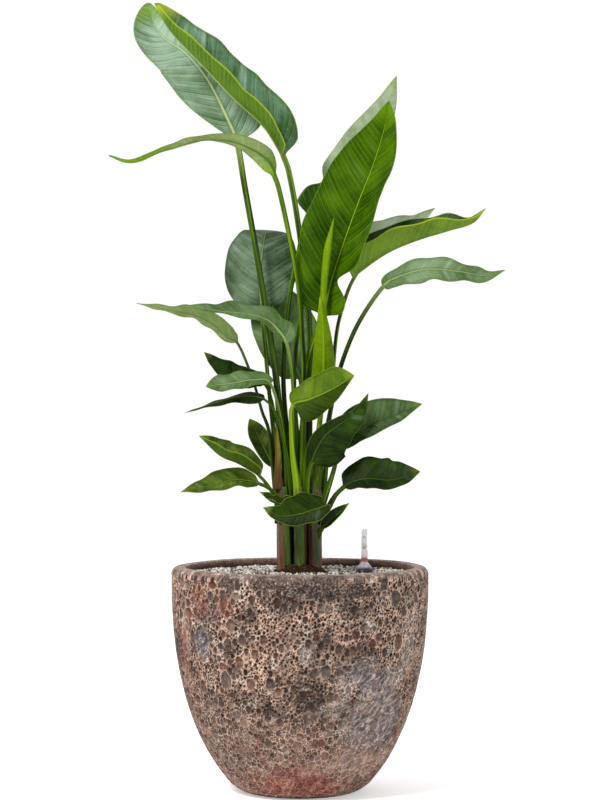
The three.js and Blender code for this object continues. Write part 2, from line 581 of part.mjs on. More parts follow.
function drySheath([, leafName, bottom, top, middle, reach]) {
  const leaf = LEAVES.find(({ name }) => name === leafName);
  const curve = curveThrough([...leaf.stalk, ...leaf.rib]);
  const base = leaf.stalk.length / (leaf.stalk.length + leaf.rib.length - 1);
  const [footRadius, topRadius] = leaf.girth;
  const LEVELS = 7;
  const SPANS = 7;
  const rings = [];
  for (let j = 0; j < LEVELS; j += 1) {
    const level = mix(bottom, top, j / LEVELS);
    let at = 0;
    while (curve.getPoint(at).z < level) at += 0.002;
    const place = curve.getPoint(at);
    const inner = mix(footRadius, topRadius, smooth(at / base * 1.4)) + 3 * GAP;
    const open = reach / 2 * (1 - 0.8 * (j / LEVELS) ** 2);
    const ring = [];
    for (let k = 0; k < 2 * SPANS; k += 1) {
      const outside = k < SPANS;
      const part = (outside ? k : 2 * SPANS - 1 - k) / (SPANS - 1);
      const angle = THREE.MathUtils.degToRad(middle + open * (2 * part - 1));
      const radius = inner + (outside ? SHEATH_THICKNESS : 0);
      ring.push(new THREE.Vector3(place.x + radius * Math.cos(angle), place.y + radius * Math.sin(angle),
        level));
    }
    rings.push(ring);
  }
  const ends = [rings[0], rings[LEVELS - 1]].map((ring) => {
    const at = Math.floor(SPANS / 2);
    return ring[at].clone().add(ring[2 * SPANS - 1 - at]).multiplyScalar(0.5);
  });
  ends[1].z = top;
  return loft(rings, ends[0], ends[1]);
}

// ---------------------------------------------------------------- pot, granulate and soil

function potOuter() {
  const foot = new THREE.Vector2(POT_BASE_RADIUS, 0);
  const heel = new THREE.Vector2(110, 15);
  const curve = new THREE.CubicBezierCurve(heel, new THREE.Vector2(182.6, 97.5),
    new THREE.Vector2(POT_RADIUS, 220), new THREE.Vector2(POT_RADIUS, POT_HEIGHT - 20));
  return [foot, ...curve.getPoints(8)].map((p) => [p.x, p.y]);
}

function potLip() {
  const outer = [0, 22.5, 45, 67.5, 90].map((degrees) => {
    const angle = THREE.MathUtils.degToRad(degrees);
    return [POT_RADIUS - POT_LIP * (1 - Math.cos(angle)), POT_HEIGHT - POT_LIP * (1 - Math.sin(angle))];
  });
  const innerRadius = POT_RADIUS - POT_WALL;
  const inner = [45, 90].map((degrees) => {
    const angle = THREE.MathUtils.degToRad(degrees);
    return [innerRadius + 6 - 6 * Math.sin(angle), POT_HEIGHT - 6 + 6 * Math.cos(angle)];
  });
  return [...outer, ...inner];
}

function potInner() {
  const r = POT_RADIUS - POT_WALL;
  return [[r, 290], [r - 10, 200], [r - 36, 110], [r - 78, 48], [r - 112, POT_FLOOR]];
}

function potSolid() {
  const profile = [[0, 0], ...potOuter(), ...potLip(), ...potInner(), [0, POT_FLOOR]];
  return lathe(profile, POT_SIDES);
}

// A steady scatter between 0 and 1 for the place (i, j).
function scatter(i, j) {
  const s = Math.sin(i * 127.1 + j * 311.7) * 43758.5453;
  return s - Math.floor(s);
}

function granulateLevel(radius) {
  const rise = smooth((SOIL_RADIUS + 40 - radius) / 40);
  return GRANULATE_TOP + 3 * rise;
}

// Height of the granulate's heaps at (x, y), above and below their mean level.
function heap(x, y) {
  const turn = 2 * Math.PI / HEAP_SPACING;
  const eastward = Math.sin(turn * x + 1.3 * Math.sin(turn * y / 2));
  const northward = Math.sin(turn * y + 1.1 * Math.cos(turn * x / 2));
  return HEAP_HEIGHT / 4 * (eastward + northward);
}

function rootBallProfile(grow) {
  return [[0, ROOT_BALL_BOTTOM - grow], [ROOT_BALL_RADIUS - 12 + grow, ROOT_BALL_BOTTOM - grow],
    [ROOT_BALL_RADIUS + grow, 150], [ROOT_BALL_RADIUS + grow, 285], [62 + grow, 318 + grow],
    [46 + grow, 329 + grow], [SOIL_RADIUS + grow, 338 + grow]];
}

function granulateSolid() {
  const wall = potInner().reverse().map(([r, z]) => [r - GAP, z + GAP]);
  const top = [160, 137, 114, 91, 68, 47].map((radius) => [radius, granulateLevel(radius)]);
  const rim = [[POT_RADIUS - POT_WALL - GAP, GRANULATE_TOP - 1]];
  const soil = rootBallProfile(GAP).reverse();
  const profile = [[0, POT_FLOOR + GAP], ...wall, ...rim, ...top, ...soil];
  const geometry = lathe(profile, GRANULATE_SIDES);
  const at = geometry.attributes.position;
  for (let i = 0; i < at.count; i += 1) {
    const radius = Math.hypot(at.getX(i), at.getY(i));
    if (top.some(([r, z]) => Math.abs(r - radius) < 0.01 && Math.abs(z - at.getZ(i)) < 0.01)) {
      at.setZ(i, at.getZ(i) + heap(at.getX(i), at.getY(i)));
    }
  }
  return geometry;
}

function rootBallSolid() {
  const top = [[34, 343], [27, 345], [19, SOIL_TOP], [10, SOIL_TOP + 1]];
  const geometry = lathe([...rootBallProfile(0), ...top, [0, SOIL_TOP + 1]], SOIL_SIDES);
  const at = geometry.attributes.position;
  for (let i = 0; i < at.count; i += 1) {
    if (at.getZ(i) > 341) {
      const angle = Math.round(Math.atan2(at.getY(i), at.getX(i)) * 12);
      at.setZ(i, at.getZ(i) + 1.6 * (scatter(at.getZ(i), angle) - 0.5));
    }
  }
  return geometry;
}

// ---------------------------------------------------------------- water gauge

const GAUGE = {
  pipe: [[10.4, GAUGE_FOOT], [12, GAUGE_FOOT], [12, 338.6], [10.4, 338.6]],
  collar: [[9.6, 339], [13.6, 339], [13.6, GAUGE_COLLAR_TOP - 0.8], [12.8, GAUGE_COLLAR_TOP],
    [9.6, GAUGE_COLLAR_TOP]],
  cap: [[0, GAUGE_TOP - 1.4], [3.5, GAUGE_TOP - 1.4], [3.9, 356], [4.4, 352], [9, GAUGE_COLLAR_TOP + GAP],
    [12.8, GAUGE_COLLAR_TOP + GAP], [12.4, 346.5], [8.6, 349.5], [5.6, 353], [5.1, 356],
    [4.75, GAUGE_TOP - 0.8], [4.1, GAUGE_TOP], [0, GAUGE_TOP]],
  float: [[0, 92], [9.4, 92], [9.4, 138], [1.3, 140], [1.3, 352], [2.4, 354], [2.4, 362], [0, 362]],
};

function turned(profile, closed) {
  const outlinePoints = closed ? [...profile, profile[0]] : profile;
  return lathe(outlinePoints, 14).translate(GAUGE_PLACE[0], GAUGE_PLACE[1], 0);
}

// ---------------------------------------------------------------- the assembly

const group = new THREE.Group();

function add(name, geometry, color, roughness, extra = {}) {
  geometry.computeVertexNormals();
  const material = new THREE.MeshStandardMaterial({ color, roughness, metalness: 0, ...extra });
  const mesh = new THREE.Mesh(geometry, material);
  mesh.name = name;
  group.add(mesh);
}

const gaugeHole = lathe([[0, GAUGE_FOOT - GAP], [12 + GAP, GAUGE_FOOT - GAP], [12 + GAP, 338.7],
  [14, 338.7], [14, 350], [0, 350]], 14).translate(GAUGE_PLACE[0], GAUGE_PLACE[1], 0);

add('pot', potSolid(), 0x8a6a5a, 0.85);
add('granulate', cut(granulateSolid(), [gaugeHole]), 0xc9c5bd, 0.9);
add('root_ball', cut(rootBallSolid(), [...SHOOTS.map((shoot) => shootSolid(shoot, GAP)), gaugeHole]),
  0x3a2618, 0.95);
add('gauge_pipe', turned(GAUGE.pipe, true), 0x2b2b2e, 0.5);
add('gauge_collar', turned(GAUGE.collar, true), 0x2e1f33, 0.4);
add('gauge_cap', turned(GAUGE.cap, false), 0xe8edf0, 0.1, { transparent: true, opacity: 0.4 });
add('gauge_float', turned(GAUGE.float, false), 0xd6401c, 0.5);
for (const shoot of SHOOTS) {
  add(shoot[0], cut(shootSolid(shoot), LEAVES.map(stalkSocket)), 0x4d5a24, 0.7);
}
for (const leaf of LEAVES) {
  add(leaf.name, leafSolid(leaf), LEAF_COLORS[leaf.color], 0.45);
}
add(SPEAR.name, spearSolid(), 0x7d9a2a, 0.5);
for (const sheath of DRY_SHEATHS) {
  add(sheath[0], drySheath(sheath), 0x7a5a34, 0.8);
}

export default group;
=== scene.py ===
"""A potted bird of paradise in a rough ceramic pot. Metres, +Z up; the plant's fuller side is -Y."""

import json
import math

import bpy
import numpy as np
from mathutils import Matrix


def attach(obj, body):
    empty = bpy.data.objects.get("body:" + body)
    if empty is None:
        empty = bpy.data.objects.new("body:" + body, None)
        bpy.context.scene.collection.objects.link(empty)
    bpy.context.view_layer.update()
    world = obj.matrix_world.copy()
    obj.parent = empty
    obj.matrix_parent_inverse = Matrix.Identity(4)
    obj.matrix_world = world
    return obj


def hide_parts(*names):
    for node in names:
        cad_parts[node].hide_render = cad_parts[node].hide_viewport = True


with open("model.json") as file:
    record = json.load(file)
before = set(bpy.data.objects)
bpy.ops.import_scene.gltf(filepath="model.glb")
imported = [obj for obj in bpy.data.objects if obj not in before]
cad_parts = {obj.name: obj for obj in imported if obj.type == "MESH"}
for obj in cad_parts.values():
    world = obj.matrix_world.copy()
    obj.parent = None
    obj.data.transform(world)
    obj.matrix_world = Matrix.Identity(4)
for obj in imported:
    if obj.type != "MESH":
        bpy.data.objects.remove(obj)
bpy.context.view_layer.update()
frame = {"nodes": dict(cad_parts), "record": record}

# ---------------------------------------------------------------- camera, stage and lights

MM = 0.001
IMAGE_HEIGHT = 800                # pixels of the photograph
FOCAL_PIXELS = 2240
SENSOR = 36.0
EYE_DISTANCE = 3500               # mm before the pot's axis
EYE_HEIGHT = 609
STUDIO_BACK = 1.03                # brightness of the white behind the plant
STUDIO_FRONT = 0.24               # and of the room on the camera's side
FLOOR_GLOW = 0.4                  # light of its own that keeps the far floor white
FLOOR_HALF = 30                   # metres


def add_camera():
    data = bpy.data.cameras.new("camera")
    data.sensor_width = SENSOR
    data.lens = SENSOR * FOCAL_PIXELS / IMAGE_HEIGHT
    data.clip_end = 60
    camera = bpy.data.objects.new("camera", data)
    camera.location = (0, -EYE_DISTANCE * MM, EYE_HEIGHT * MM)
    camera.rotation_euler = (math.pi / 2, 0, 0)
    bpy.context.scene.collection.objects.link(camera)
    bpy.context.scene.camera = camera


def add_light(name, place, target, size, power, color):
    data = bpy.data.lights.new(name, "AREA")
    data.shape = "DISK"
    data.size = size
    data.energy = power
    data.color = color
    light = bpy.data.objects.new(name, data)
    light.location = place
    aim = np.array(target, float) - np.array(place, float)
    tilt = math.acos(-aim[2] / np.linalg.norm(aim))
    light.rotation_euler = (tilt, 0, math.atan2(-aim[0], aim[1]))
    bpy.context.scene.collection.objects.link(light)


def add_stage():
    """A white floor, and a studio that is white behind the plant and dimmer on the camera's side."""
    corners = [(x * FLOOR_HALF, y * FLOOR_HALF, 0) for x, y in ((-1, -1), (1, -1), (1, 1), (-1, 1))]
    floor = new_mesh("floor", corners, [(0, 1, 2, 3)])
    floor.data.materials.append(Nodes("floor").finish((255, 255, 255), 1.0, 0.0, glow=FLOOR_GLOW))
    world = bpy.data.worlds.new("studio")
    bpy.context.scene.world = world
    world.use_nodes = True
    tree = world.node_tree
    direction = tree.nodes.new("ShaderNodeTexCoord").outputs["Generated"]
    parts = tree.nodes.new("ShaderNodeSeparateXYZ")
    tree.links.new(direction, parts.inputs[0])
    level = tree.nodes.new("ShaderNodeMapRange")
    level.interpolation_type = "SMOOTHSTEP"
    for socket, value in zip(level.inputs, (0.0, -0.5, 0.35, STUDIO_FRONT, STUDIO_BACK)):
        socket.default_value = value
    tree.links.new(parts.outputs["Y"], level.inputs[0])
    tree.links.new(level.outputs[0], tree.nodes["Background"].inputs["Strength"])
    tree.nodes["Background"].inputs["Color"].default_value = (1, 1, 1, 1)
    add_light("key", (-1.5, -2.1, 2.9), (0, 0, 0.7), 0.9, 100, (1, 0.99, 0.96))
    add_light("fill", (2.4, -2.4, 1.2), (0, 0, 0.5), 1.6, 16, (0.97, 0.99, 1))


# ---------------------------------------------------------------- colours and shader nodes

def linear(red, green, blue):
    """An on-screen colour, 0 to 255, as a linear one."""
    channels = [c / 255 for c in (red, green, blue)]
    return (*[c / 12.92 if c <= 0.04045 else ((c + 0.055) / 1.055) ** 2.4 for c in channels], 1.0)


class Value:
    """An output of a material's nodes that can be reckoned with like a number."""

    def __init__(self, nodes, socket):
        self.nodes = nodes
        self.socket = socket

    def __add__(self, other):
        return self.nodes.math("ADD", self, other)

    def __sub__(self, other):
        return self.nodes.math("SUBTRACT", self, other)

    def __rsub__(self, other):
        return self.nodes.math("SUBTRACT", other, self)

    def __mul__(self, other):
        return self.nodes.math("MULTIPLY", self, other)

    def __truediv__(self, other):
        return self.nodes.math("DIVIDE", self, other)

    def __abs__(self):
        return self.nodes.math("ABSOLUTE", self)


class Nodes:
    """A material with short calls for its nodes. An input is a Value, a number or a colour, which is red,
    green and blue as seen on a screen, 0 to 255."""

    def __init__(self, name):
        self.material = bpy.data.materials.new(name)
        self.material.use_nodes = True
        self.tree = self.material.node_tree
        self.tree.nodes.clear()

    def put(self, socket, value):
        if isinstance(value, Value):
            self.tree.links.new(value.socket, socket)
        elif isinstance(value, tuple):
            socket.default_value = linear(*value)
        elif value is not None:
            socket.default_value = value

    def add(self, kind, inputs, output=0, **settings):
        """A new node of a kind with its inputs filled; returns one of its outputs."""
        made = self.tree.nodes.new("ShaderNode" + kind)
        for key, value in settings.items():
            setattr(made, key, value)
        for key, value in inputs.items():
            self.put(made.inputs[key], value)
        return Value(self, made.outputs[output])

    def attribute(self, name):
        return self.add("Attribute", {}, "Fac", attribute_name=name)

    def place(self, x=1, y=1, z=1):
        """Object coordinates in millimetres, each stretched by a factor."""
        inputs = {0: self.add("TexCoord", {}, "Object"), 1: [factor / MM for factor in (x, y, z)]}
        return self.add("VectorMath", inputs, operation="MULTIPLY")

    def combine(self, x, y, z=0.0):
        return self.add("CombineXYZ", {0: x, 1: y, 2: z})

    def separate(self, vector, axis):
        return self.add("SeparateXYZ", {0: vector}, axis)

    def math(self, operation, a, b=None):
        return self.add("Math", {0: a, 1: b}, operation=operation)

    def random(self, value):
        """A steady random number from 0 to 1 for each whole value."""
        return self.add("TexWhiteNoise", {"W": value}, "Value", noise_dimensions="1D")

    def step(self, value, low, high, start=0.0, end=1.0):
        """start below low, end above high, smooth between."""
        inputs = dict(enumerate((value, low, high, start, end)))
        return self.add("MapRange", inputs, interpolation_type="SMOOTHSTEP")

    def noise(self, vector, size, detail=3.0, roughness=0.55):
        """Noise from 0 to 1 with patches about size across."""
        inputs = {"Vector": vector, "Scale": 1 / size, "Detail": detail, "Roughness": roughness}
        return self.add("TexNoise", inputs, "Fac")

    def cells(self, vector, size):
        """Distance to the nearest of points that lie about size apart."""
        return self.add("TexVoronoi", {"Vector": vector, "Scale": 1 / size}, "Distance")

    def mix(self, share, a, b, kind="MIX"):
        return self.add("Mix", {0: share, 6: a, 7: b}, 2, data_type="RGBA", blend_type=kind)

    def ramp(self, value, *stops):
        """A colour ramp; each stop is (place, colour)."""
        color = self.add("ValToRGB", {"Fac": value}, "Color")
        elements = color.socket.node.color_ramp.elements
        while len(elements) < len(stops):
            elements.new(0.5)
        for element, (place, shade) in zip(elements, stops):
            element.position = place
            element.color = linear(*shade)
        return color

    def bump(self, height, distance):
        return self.add("Bump", {"Height": height, "Distance": distance * MM}, "Normal")

    def finish(self, base, roughness, specular, normal=None, coat=0.0, glow=0.0, transmission=0.0, ior=1.45,
               through=None, through_color=None):
        """The material's surface. through is the share of light that comes through a thin piece."""
        surface = self.add("BsdfPrincipled", {
            "Base Color": base, "Roughness": roughness, "Normal": normal, "Specular IOR Level": specular,
            "Coat Weight": coat, "Coat Roughness": 0.3, "Transmission Weight": transmission, "IOR": ior,
            "Emission Color": (255, 255, 255), "Emission Strength": glow})
        if through:
            thin = self.add("BsdfTranslucent", {"Color": through_color, "Normal": normal})
            surface = self.add("MixShader", {0: through, 1: surface, 2: thin})
        self.put(self.tree.nodes.new("ShaderNodeOutputMaterial").inputs["Surface"], surface)
        return self.material


# ---------------------------------------------------------------- meshes

def new_mesh(name, vertices, faces, smooth=True, **attributes):
    """A mesh object from points and faces, with one float attribute for each further array."""
    data = bpy.data.meshes.new(name)
    vertices = np.asarray(vertices, float)
    data.from_pydata(vertices.tolist(), [], [list(map(int, f)) for f in faces])
    for key, values in attributes.items():
        attribute = data.attributes.new(key, "FLOAT", "POINT")
        attribute.data.foreach_set("value", np.asarray(values, np.float32).ravel())
    if smooth:
        data.polygons.foreach_set("use_smooth", np.ones(len(data.polygons), bool))
    data.update()
    made = bpy.data.objects.new(name, data)
    bpy.context.scene.collection.objects.link(made)
    return made


def piece(name, material, nodes, slot, vertices, faces, smooth=True, **attributes):
    """A visible piece that rides on the root and stands for CAD nodes."""
    made = new_mesh(name, vertices, faces, smooth, **attributes)
    made.data.materials.append(material)
    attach(made, "root")
    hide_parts(*nodes)
    return made


def grid_faces(rows, columns, closed):
    """Quads of a grid of points, row after row; closed joins the last column to the first."""
    row = np.arange(rows - 1)[:, None] * columns
    across = np.arange(columns if closed else columns - 1)[None, :]
    following = (across + 1) % columns
    quads = np.stack([row + across, row + following, row + columns + following, row + columns + across], -1)
    return quads.reshape(-1, 4)


def closing_faces(rows, columns):
    """Quads from the last row of a closed grid back to its first."""
    first = np.arange(columns)
    last = first + (rows - 1) * columns
    return np.stack([last, np.roll(last, -1), np.roll(first, -1), first], -1)


def tube_faces(rows, columns):
    """A closed tube's quads, with a fan at each end to the two points that follow the grid."""
    faces = list(grid_faces(rows, columns, True))
    foot, top = rows * columns, rows * columns + 1
    last = (rows - 1) * columns
    for k in range(columns):
        following = (k + 1) % columns
        faces += [[foot, following, k], [top, last + k, last + following]]
    return faces


def smooth_step(x):
    s = np.clip(x, 0, 1)
    return s * s * (3 - 2 * s)


def unit(v):
    return v / np.linalg.norm(v, axis=-1, keepdims=True)


def wander(x, seed, count=4):
    """A smooth irregular wave of x, about -1 to 1."""
    rng = np.random.default_rng(seed)
    total = np.zeros_like(x)
    for _ in range(count):
        total += np.sin(x * rng.uniform(0.5, 2.2) + rng.uniform(0, 2 * math.pi))
    return total / count


# ---------------------------------------------------------------- leaves

# The leaves of the part, point for point, in mm. stalk: from its foot in a shoot up to the blade; rib: from
# the blade's base to its tip, both as [across, up, depth] seen from the camera's place. face: the way the
# upper side looks at base, middle and tip. half: width of the left and right half. fold: degrees that each
# half rises from the rib; curl: degrees more from there to its edge. wide: where along the rib the blade is
# widest; swell: how slowly it widens up to there; taper: how blunt it is from there to the tip. pinch:
# where and how deep the right half is drawn in. lobe: how far the base reaches back beside the stalk.
# wave: height of the edge's waves, how many, and where they start. girth: radius of the stalk at its foot
# and at the blade. look: the leaf's colours. blunt: below 1 it rounds the tip. stem: -1 for a dark stalk to
# 1 for a light one. What holds for both halves, and a face that holds all along, is written once.
LEAVES = []
USUAL_FORM = dict(swell=0.55, pinch=None, blunt=1.0, stem=0.0)


def leaf(name, stalk, rib, face, half, fold, curl, **form):
    LEAVES.append(dict(USUAL_FORM, name=name, stalk=stalk, rib=rib, face=face, half=half, fold=fold,
                       curl=curl, **form))


leaf("leaf_top_left_rear", [[-28.5, 416, -4], [-30, 480, -4], [-30, 550, -2], [-37, 640, 6], [-52, 742, 16],
     [-70, 850, 22], [-86, 940, 26]], [[-98, 1010, 30], [-114, 1050, 34], [-143, 1107, 44], [-178, 1150,
     56], [-220, 1182, 66], [-238, 1230, 72]], [[-0.2, -1, 0.15], [-0.3, -1, 0.25], [-0.1, -1, 0.5]], [55,
     58], 14, 10, wide=[0.46, 0.18], taper=[2.6, 1.1], lobe=0.25, wave=[2, 5, 0.1], girth=[6.2, 4.8],
     look="silver", swell=[1.6, 0.42], blunt=0.62, stem=-0.6)
leaf("leaf_top_left_front", [[5, 416, -2], [12, 500, 5], [15, 580, 11], [16, 645, 15], [16, 706, 17], [11,
     778, 16], [-2, 879, 8], [-14, 950, -2]], [[-25, 988, -10], [-54, 1036, -18], [-106, 1084, -24], [-150,
     1130, -28], [-203, 1186, -30], [-228, 1229, -32]], [[0.4, -0.85, 0.3], [0.5, -0.72, 0.5], [0.5, -0.75,
     0.5]], [32, 50], [74, 38], [26, -6], wide=0.3, taper=2.6, lobe=0.2, wave=[2, 4, 0.3], girth=[5, 4.6],
     look="folded", blunt=0.6, stem=-0.5)
leaf("leaf_long_left", [[4.5, 416, -11.5], [4, 520, -12], [6, 645, -14], [3, 706, -14], [-3, 787, -14],
     [-14, 850, -15], [-30, 925, -18]], [[-39, 956, -20], [-57, 990, -26], [-100, 1013, -40], [-150, 1016,
     -52], [-205, 1002, -62], [-262, 981, -72], [-300, 991, -80]], [[-0.6, 0.45, 0.6], [0.1, 0.24, 0.96],
     [0.1, 0.24, 0.96]], [17, 18], 6, 6, wide=0.24, taper=1.7, lobe=0.2, wave=[0.7, 4, 0], girth=[4.8, 4.2],
     look="long", blunt=0.5, stem=-0.3)
leaf("leaf_round_rear", [[-22, 416, 10.5], [-34, 500, 14], [-48, 620, 24], [-55, 700, 34]], [[-60, 752, 42],
     [-63, 800, 50], [-58, 848, 68], [-52, 873, 98], [-46, 869, 134]], [[0, -1, 0.1], [0, -1, 0.45], [0,
     -0.3, 1]], [56, 58], 2, -8, wide=0.34, taper=2.4, lobe=0.16, wave=[1.5, 4, 0.2], girth=[3.8, 3.2],
     look="round", stem=-0.5)
leaf("leaf_tall_centre", [[-3.5, 416, 5], [0, 500, 3], [6, 600, 0], [14, 680, -3]], [[36, 738, 2], [53, 806,
     -2], [85, 900, -6], [115, 978, -6], [132, 1034, -4], [139, 1077, 0]], [[-0.3, -1, 0.1], [-0.4, -0.9,
     0.15], [-0.3, -0.9, 0.2]], [70, 62], [24, 30], [8, 12], wide=[0.42, 0.5], taper=[2.2, 2.7], lobe=0.24,
     wave=[4, 3, 0.1], girth=[4.6, 4.1], look="tall", swell=[0.55, 0.25], pinch=[0.18, 0.72], stem=-0.3)
leaf("leaf_tall_rear", [[-3.5, 416, 14], [-16, 520, 20], [-26, 642, 26], [-19, 750, 28], [-2, 842, 32]],
     [[13, 896, 34], [54, 946, 40], [98, 1006, 45], [132, 1062, 46], [151, 1116, 44]], [[0.1, 1, 0.2],
     [-0.1, 1, 0.1], [0, 1, 0]], [40, 36], [18, 12], [16, 12], wide=[0.36, 0.5], taper=1.7, lobe=0.3,
     wave=[2, 4, 0.4], girth=[4, 3.7], look="reverse", swell=[0.45, 0.14], pinch=[0.22, 0.45], stem=-0.5)
leaf("leaf_right_rear", [[5.5, 416, 8], [-2, 520, 18], [-9, 645, 24], [3, 750, 36], [30, 806, 46]], [[62,
     840, 50], [100, 860, 56], [140, 873, 62], [180, 886, 66], [211, 909, 68]], [[0, 0.6, 0.8], [0, 0.55,
     0.85], [0, 0.6, 0.8]], [28, 30], [10, 8], 6, wide=0.35, taper=1.9, lobe=0.12, wave=[1.5, 3, 0],
     girth=[3.7, 3.3], look="right", stem=-0.5)
leaf("leaf_right_folded", [[28.5, 416, 6.5], [40, 520, 8], [48, 609, 8], [55, 701, 8], [64, 748, 8]], [[82,
     797, 8], [104, 818, 6], [142, 842, 2], [185, 859, -2], [232, 873, -8], [270, 885, -12], [291, 909,
     -14]], [[-0.4, -0.2, 0.9], [-0.3, -0.25, 0.95], [-0.2, -0.3, 0.9]], [40, 42], [58, 46], [10, 24],
     wide=0.3, taper=1.9, lobe=0.14, wave=[2, 4, 0.3], girth=[4.2, 3.6], look="yellow", stem=-0.5)
leaf("leaf_right_long", [[22, 416, 12], [38, 530, 20], [46, 584, 20], [62, 656, 12], [89, 725, -8]], [[128,
     784, -28], [156, 802, -36], [200, 813, -44], [250, 809, -50], [290, 803, -56], [321, 812, -58]], [[0,
     -0.75, 0.7], [0.05, -0.75, 0.65], [0.1, -0.7, 0.7]], [21, 23], [18, 4], [6, -20], wide=0.4, taper=2,
     lobe=0.4, wave=[2.5, 4, 0.1], girth=[4, 3.6], look="cool", swell=0.7, stem=-0.9)
leaf("leaf_front_centre", [[-3, 416, -21], [-4, 470, -23], [-11, 520, -26], [-14, 565, -30]], [[-12, 600,
     -34], [14, 610, -48], [46, 624, -66], [85, 647, -88]], [[-0.1, -0.96, 0.25], [-0.25, -0.92, -0.2],
     [-0.3, -0.8, -0.5]], [31, 34], [-4, -16], [-6, -20], wide=[0.45, 0.22], taper=[6, 1.3], lobe=0.3,
     wave=[1.5, 2, 0], girth=[4.2, 3], look="olive", swell=0.4, stem=0.5)
leaf("leaf_left_slim", [[-30, 416, 6], [-38, 470, 10], [-48, 557, 14], [-59, 590, 15], [-70, 629, 16], [-81,
     661, 17]], [[-97, 697, 18], [-113, 709, 18], [-136, 728, 18], [-166, 742, 16], [-206, 750, 14], [-256,
     760, 10]], [[-0.3, 0.4, 0.85], [0, 0.36, 0.94], [0.1, 0.3, 0.94]], [28, 21], 2, 4, wide=0.35,
     taper=1.7, lobe=0.14, wave=[1.5, 4, 0], girth=[3.2, 2.2], look="slim", stem=-0.9)
leaf("leaf_left_rear", [[-4.5, 416, -4.5], [-8, 520, -6], [-10, 600, -6], [-12, 648, -5]], [[-20, 696, -4],
     [-33, 717, -8], [-52, 734, -16], [-85, 743, -26], [-130, 748, -36], [-178, 757, -44]], [[-0.5, -0.7,
     0.5], [0.05, -0.5, 0.9], [0.1, -0.4, 0.9]], [10, 33], [0, 4], [-24, 10], wide=0.4, taper=1.8, lobe=0.3,
     wave=[2, 3, 0.2], girth=[4, 3.4], look="cool", pinch=[0.2, 0.4], stem=-0.4)
leaf("leaf_rear_centre", [[4, 416, 20], [6, 500, 40], [4, 590, 58]], [[0, 640, 66], [-16, 690, 74], [-34,
     734, 84], [-52, 778, 98], [-66, 806, 116]], [[0, -1, 0.05], [0, -1, 0.2], [0, -0.9, 0.6]], [49, 56],
     [10, 8], 10, wide=0.42, taper=1.9, lobe=0.14, wave=[2.5, 4, 0.5], girth=[3.8, 2.8], look="rear",
     stem=-0.6)
leaf("leaf_left_mid_rear", [[-17.5, 416, 3], [-26, 500, 5], [-38, 580, 6]], [[-54, 632, 4], [-90, 640, 4],
     [-122, 656, 4], [-150, 684, 4]], [[0.1, -0.8, 0.6], [0.2, -0.8, 0.6], [0.2, -0.9, 0.4]], [18, 22], [10,
     20], 8, wide=0.4, taper=1.9, lobe=0.1, wave=[1.5, 3, 0], girth=[3, 2.2], look="deep", stem=-0.9)
leaf("leaf_left_mid", [[-17.5, 416, -5.5], [-20, 500, -9], [-28, 570, -12]], [[-46, 634, -16], [-74, 640,
     -24], [-106, 635, -32], [-147, 630, -40]], [[0, -0.7, 0.7], [0.1, -0.8, 0.6], [0, -0.8, 0.6]], [13,
     17], [4, 14], [-10, 8], wide=0.6, taper=4, lobe=0.6, wave=[2, 3, 0.4], girth=[3.4, 2.4], look="cool",
     stem=-0.4)
leaf("leaf_left_drooping", [[-5.5, 416, -13], [-14, 470, -20], [-22, 530, -25], [-38, 588, -24]], [[-54,
     609, -20], [-76, 615, -16], [-100, 613, -12], [-134, 604, -10], [-180, 589, -10]], [[0.3, -0.5, 0.85],
     [0.1, -0.4, 0.92], [0.1, -0.4, 0.92]], [12, 18], [-40, 0], [-40, -10], wide=0.2, taper=0.9, lobe=0.1,
     wave=[1, 3, 0], girth=[3.4, 2.2], look="deep", stem=-0.8)
leaf("leaf_left_small_upright", [[-28.5, 416, 15], [-34, 460, 24]], [[-42, 503, 32], [-51, 524, 33], [-63,
     549, 31], [-79, 580, 27]], [-0.2, -1, 0.1], [15, 18], 14, 14, wide=0.6, taper=2.4, lobe=0, wave=[0.6,
     2, 0], girth=[2.8, 2.4], look="mid", stem=-0.5)
leaf("leaf_left_low_folded", [[-27, 416, -14], [-36, 452, -18], [-48, 473, -20]], [[-61, 489, -22], [-78,
     500, -26], [-98, 511, -30], [-126, 523, -36], [-158, 553, -44]], [[0.3, -0.3, 0.9], [0.3, -0.25, 0.9],
     [0.2, -0.3, 0.9]], [24, 30], 46, [16, 22], wide=0.36, taper=3, lobe=0.1, wave=[1, 3, 0], girth=[2.8,
     2], look="mid", stem=-0.6)
leaf("leaf_left_lowest", [[-18.5, 416, -14], [-30, 450, -22], [-46, 470, -32]], [[-62, 478, -42], [-82, 483,
     -54], [-106, 484, -66], [-138, 475, -80], [-187, 465, -98]], [[0.1, -0.6, 0.8], [0.1, -0.55, 0.85],
     [0.1, -0.5, 0.9]], [13, 25], [-10, 14], [-20, 6], wide=0.36, taper=1.9, lobe=0.1, wave=[1.5, 3, 0.3],
     girth=[2.8, 2], look="mid", stem=-0.7)
leaf("leaf_low_curled", [[5, 416, -20], [2, 440, -29]], [[-8, 451, -34], [-25, 448, -39], [-44, 450, -43],
     [-64, 466, -44]], [[0, -0.4, 0.9], [0, -0.35, 0.95], [0.5, -0.4, 0.8]], 14, [20, 30], [20, 30],
     wide=0.45, taper=2, lobe=0.2, wave=[2, 3, 0.4], girth=[2.8, 2.2], look="low", stem=-0.2)
leaf("leaf_low_front", [[17, 416, -14.5], [30, 430, -28]], [[44, 444, -38], [24, 438, -52], [-4, 430, -62],
     [-32, 428, -68], [-58, 441, -72]], [[-0.3, -0.5, 0.8], [0, -0.6, 0.8], [0.3, -0.5, 0.8]], [19, 35],
     [-20, 20], [-24, 10], wide=0.36, taper=1.9, lobe=0.3, wave=[1.5, 3, 0], girth=[2.8, 2.4], look="low",
     stem=0.2)
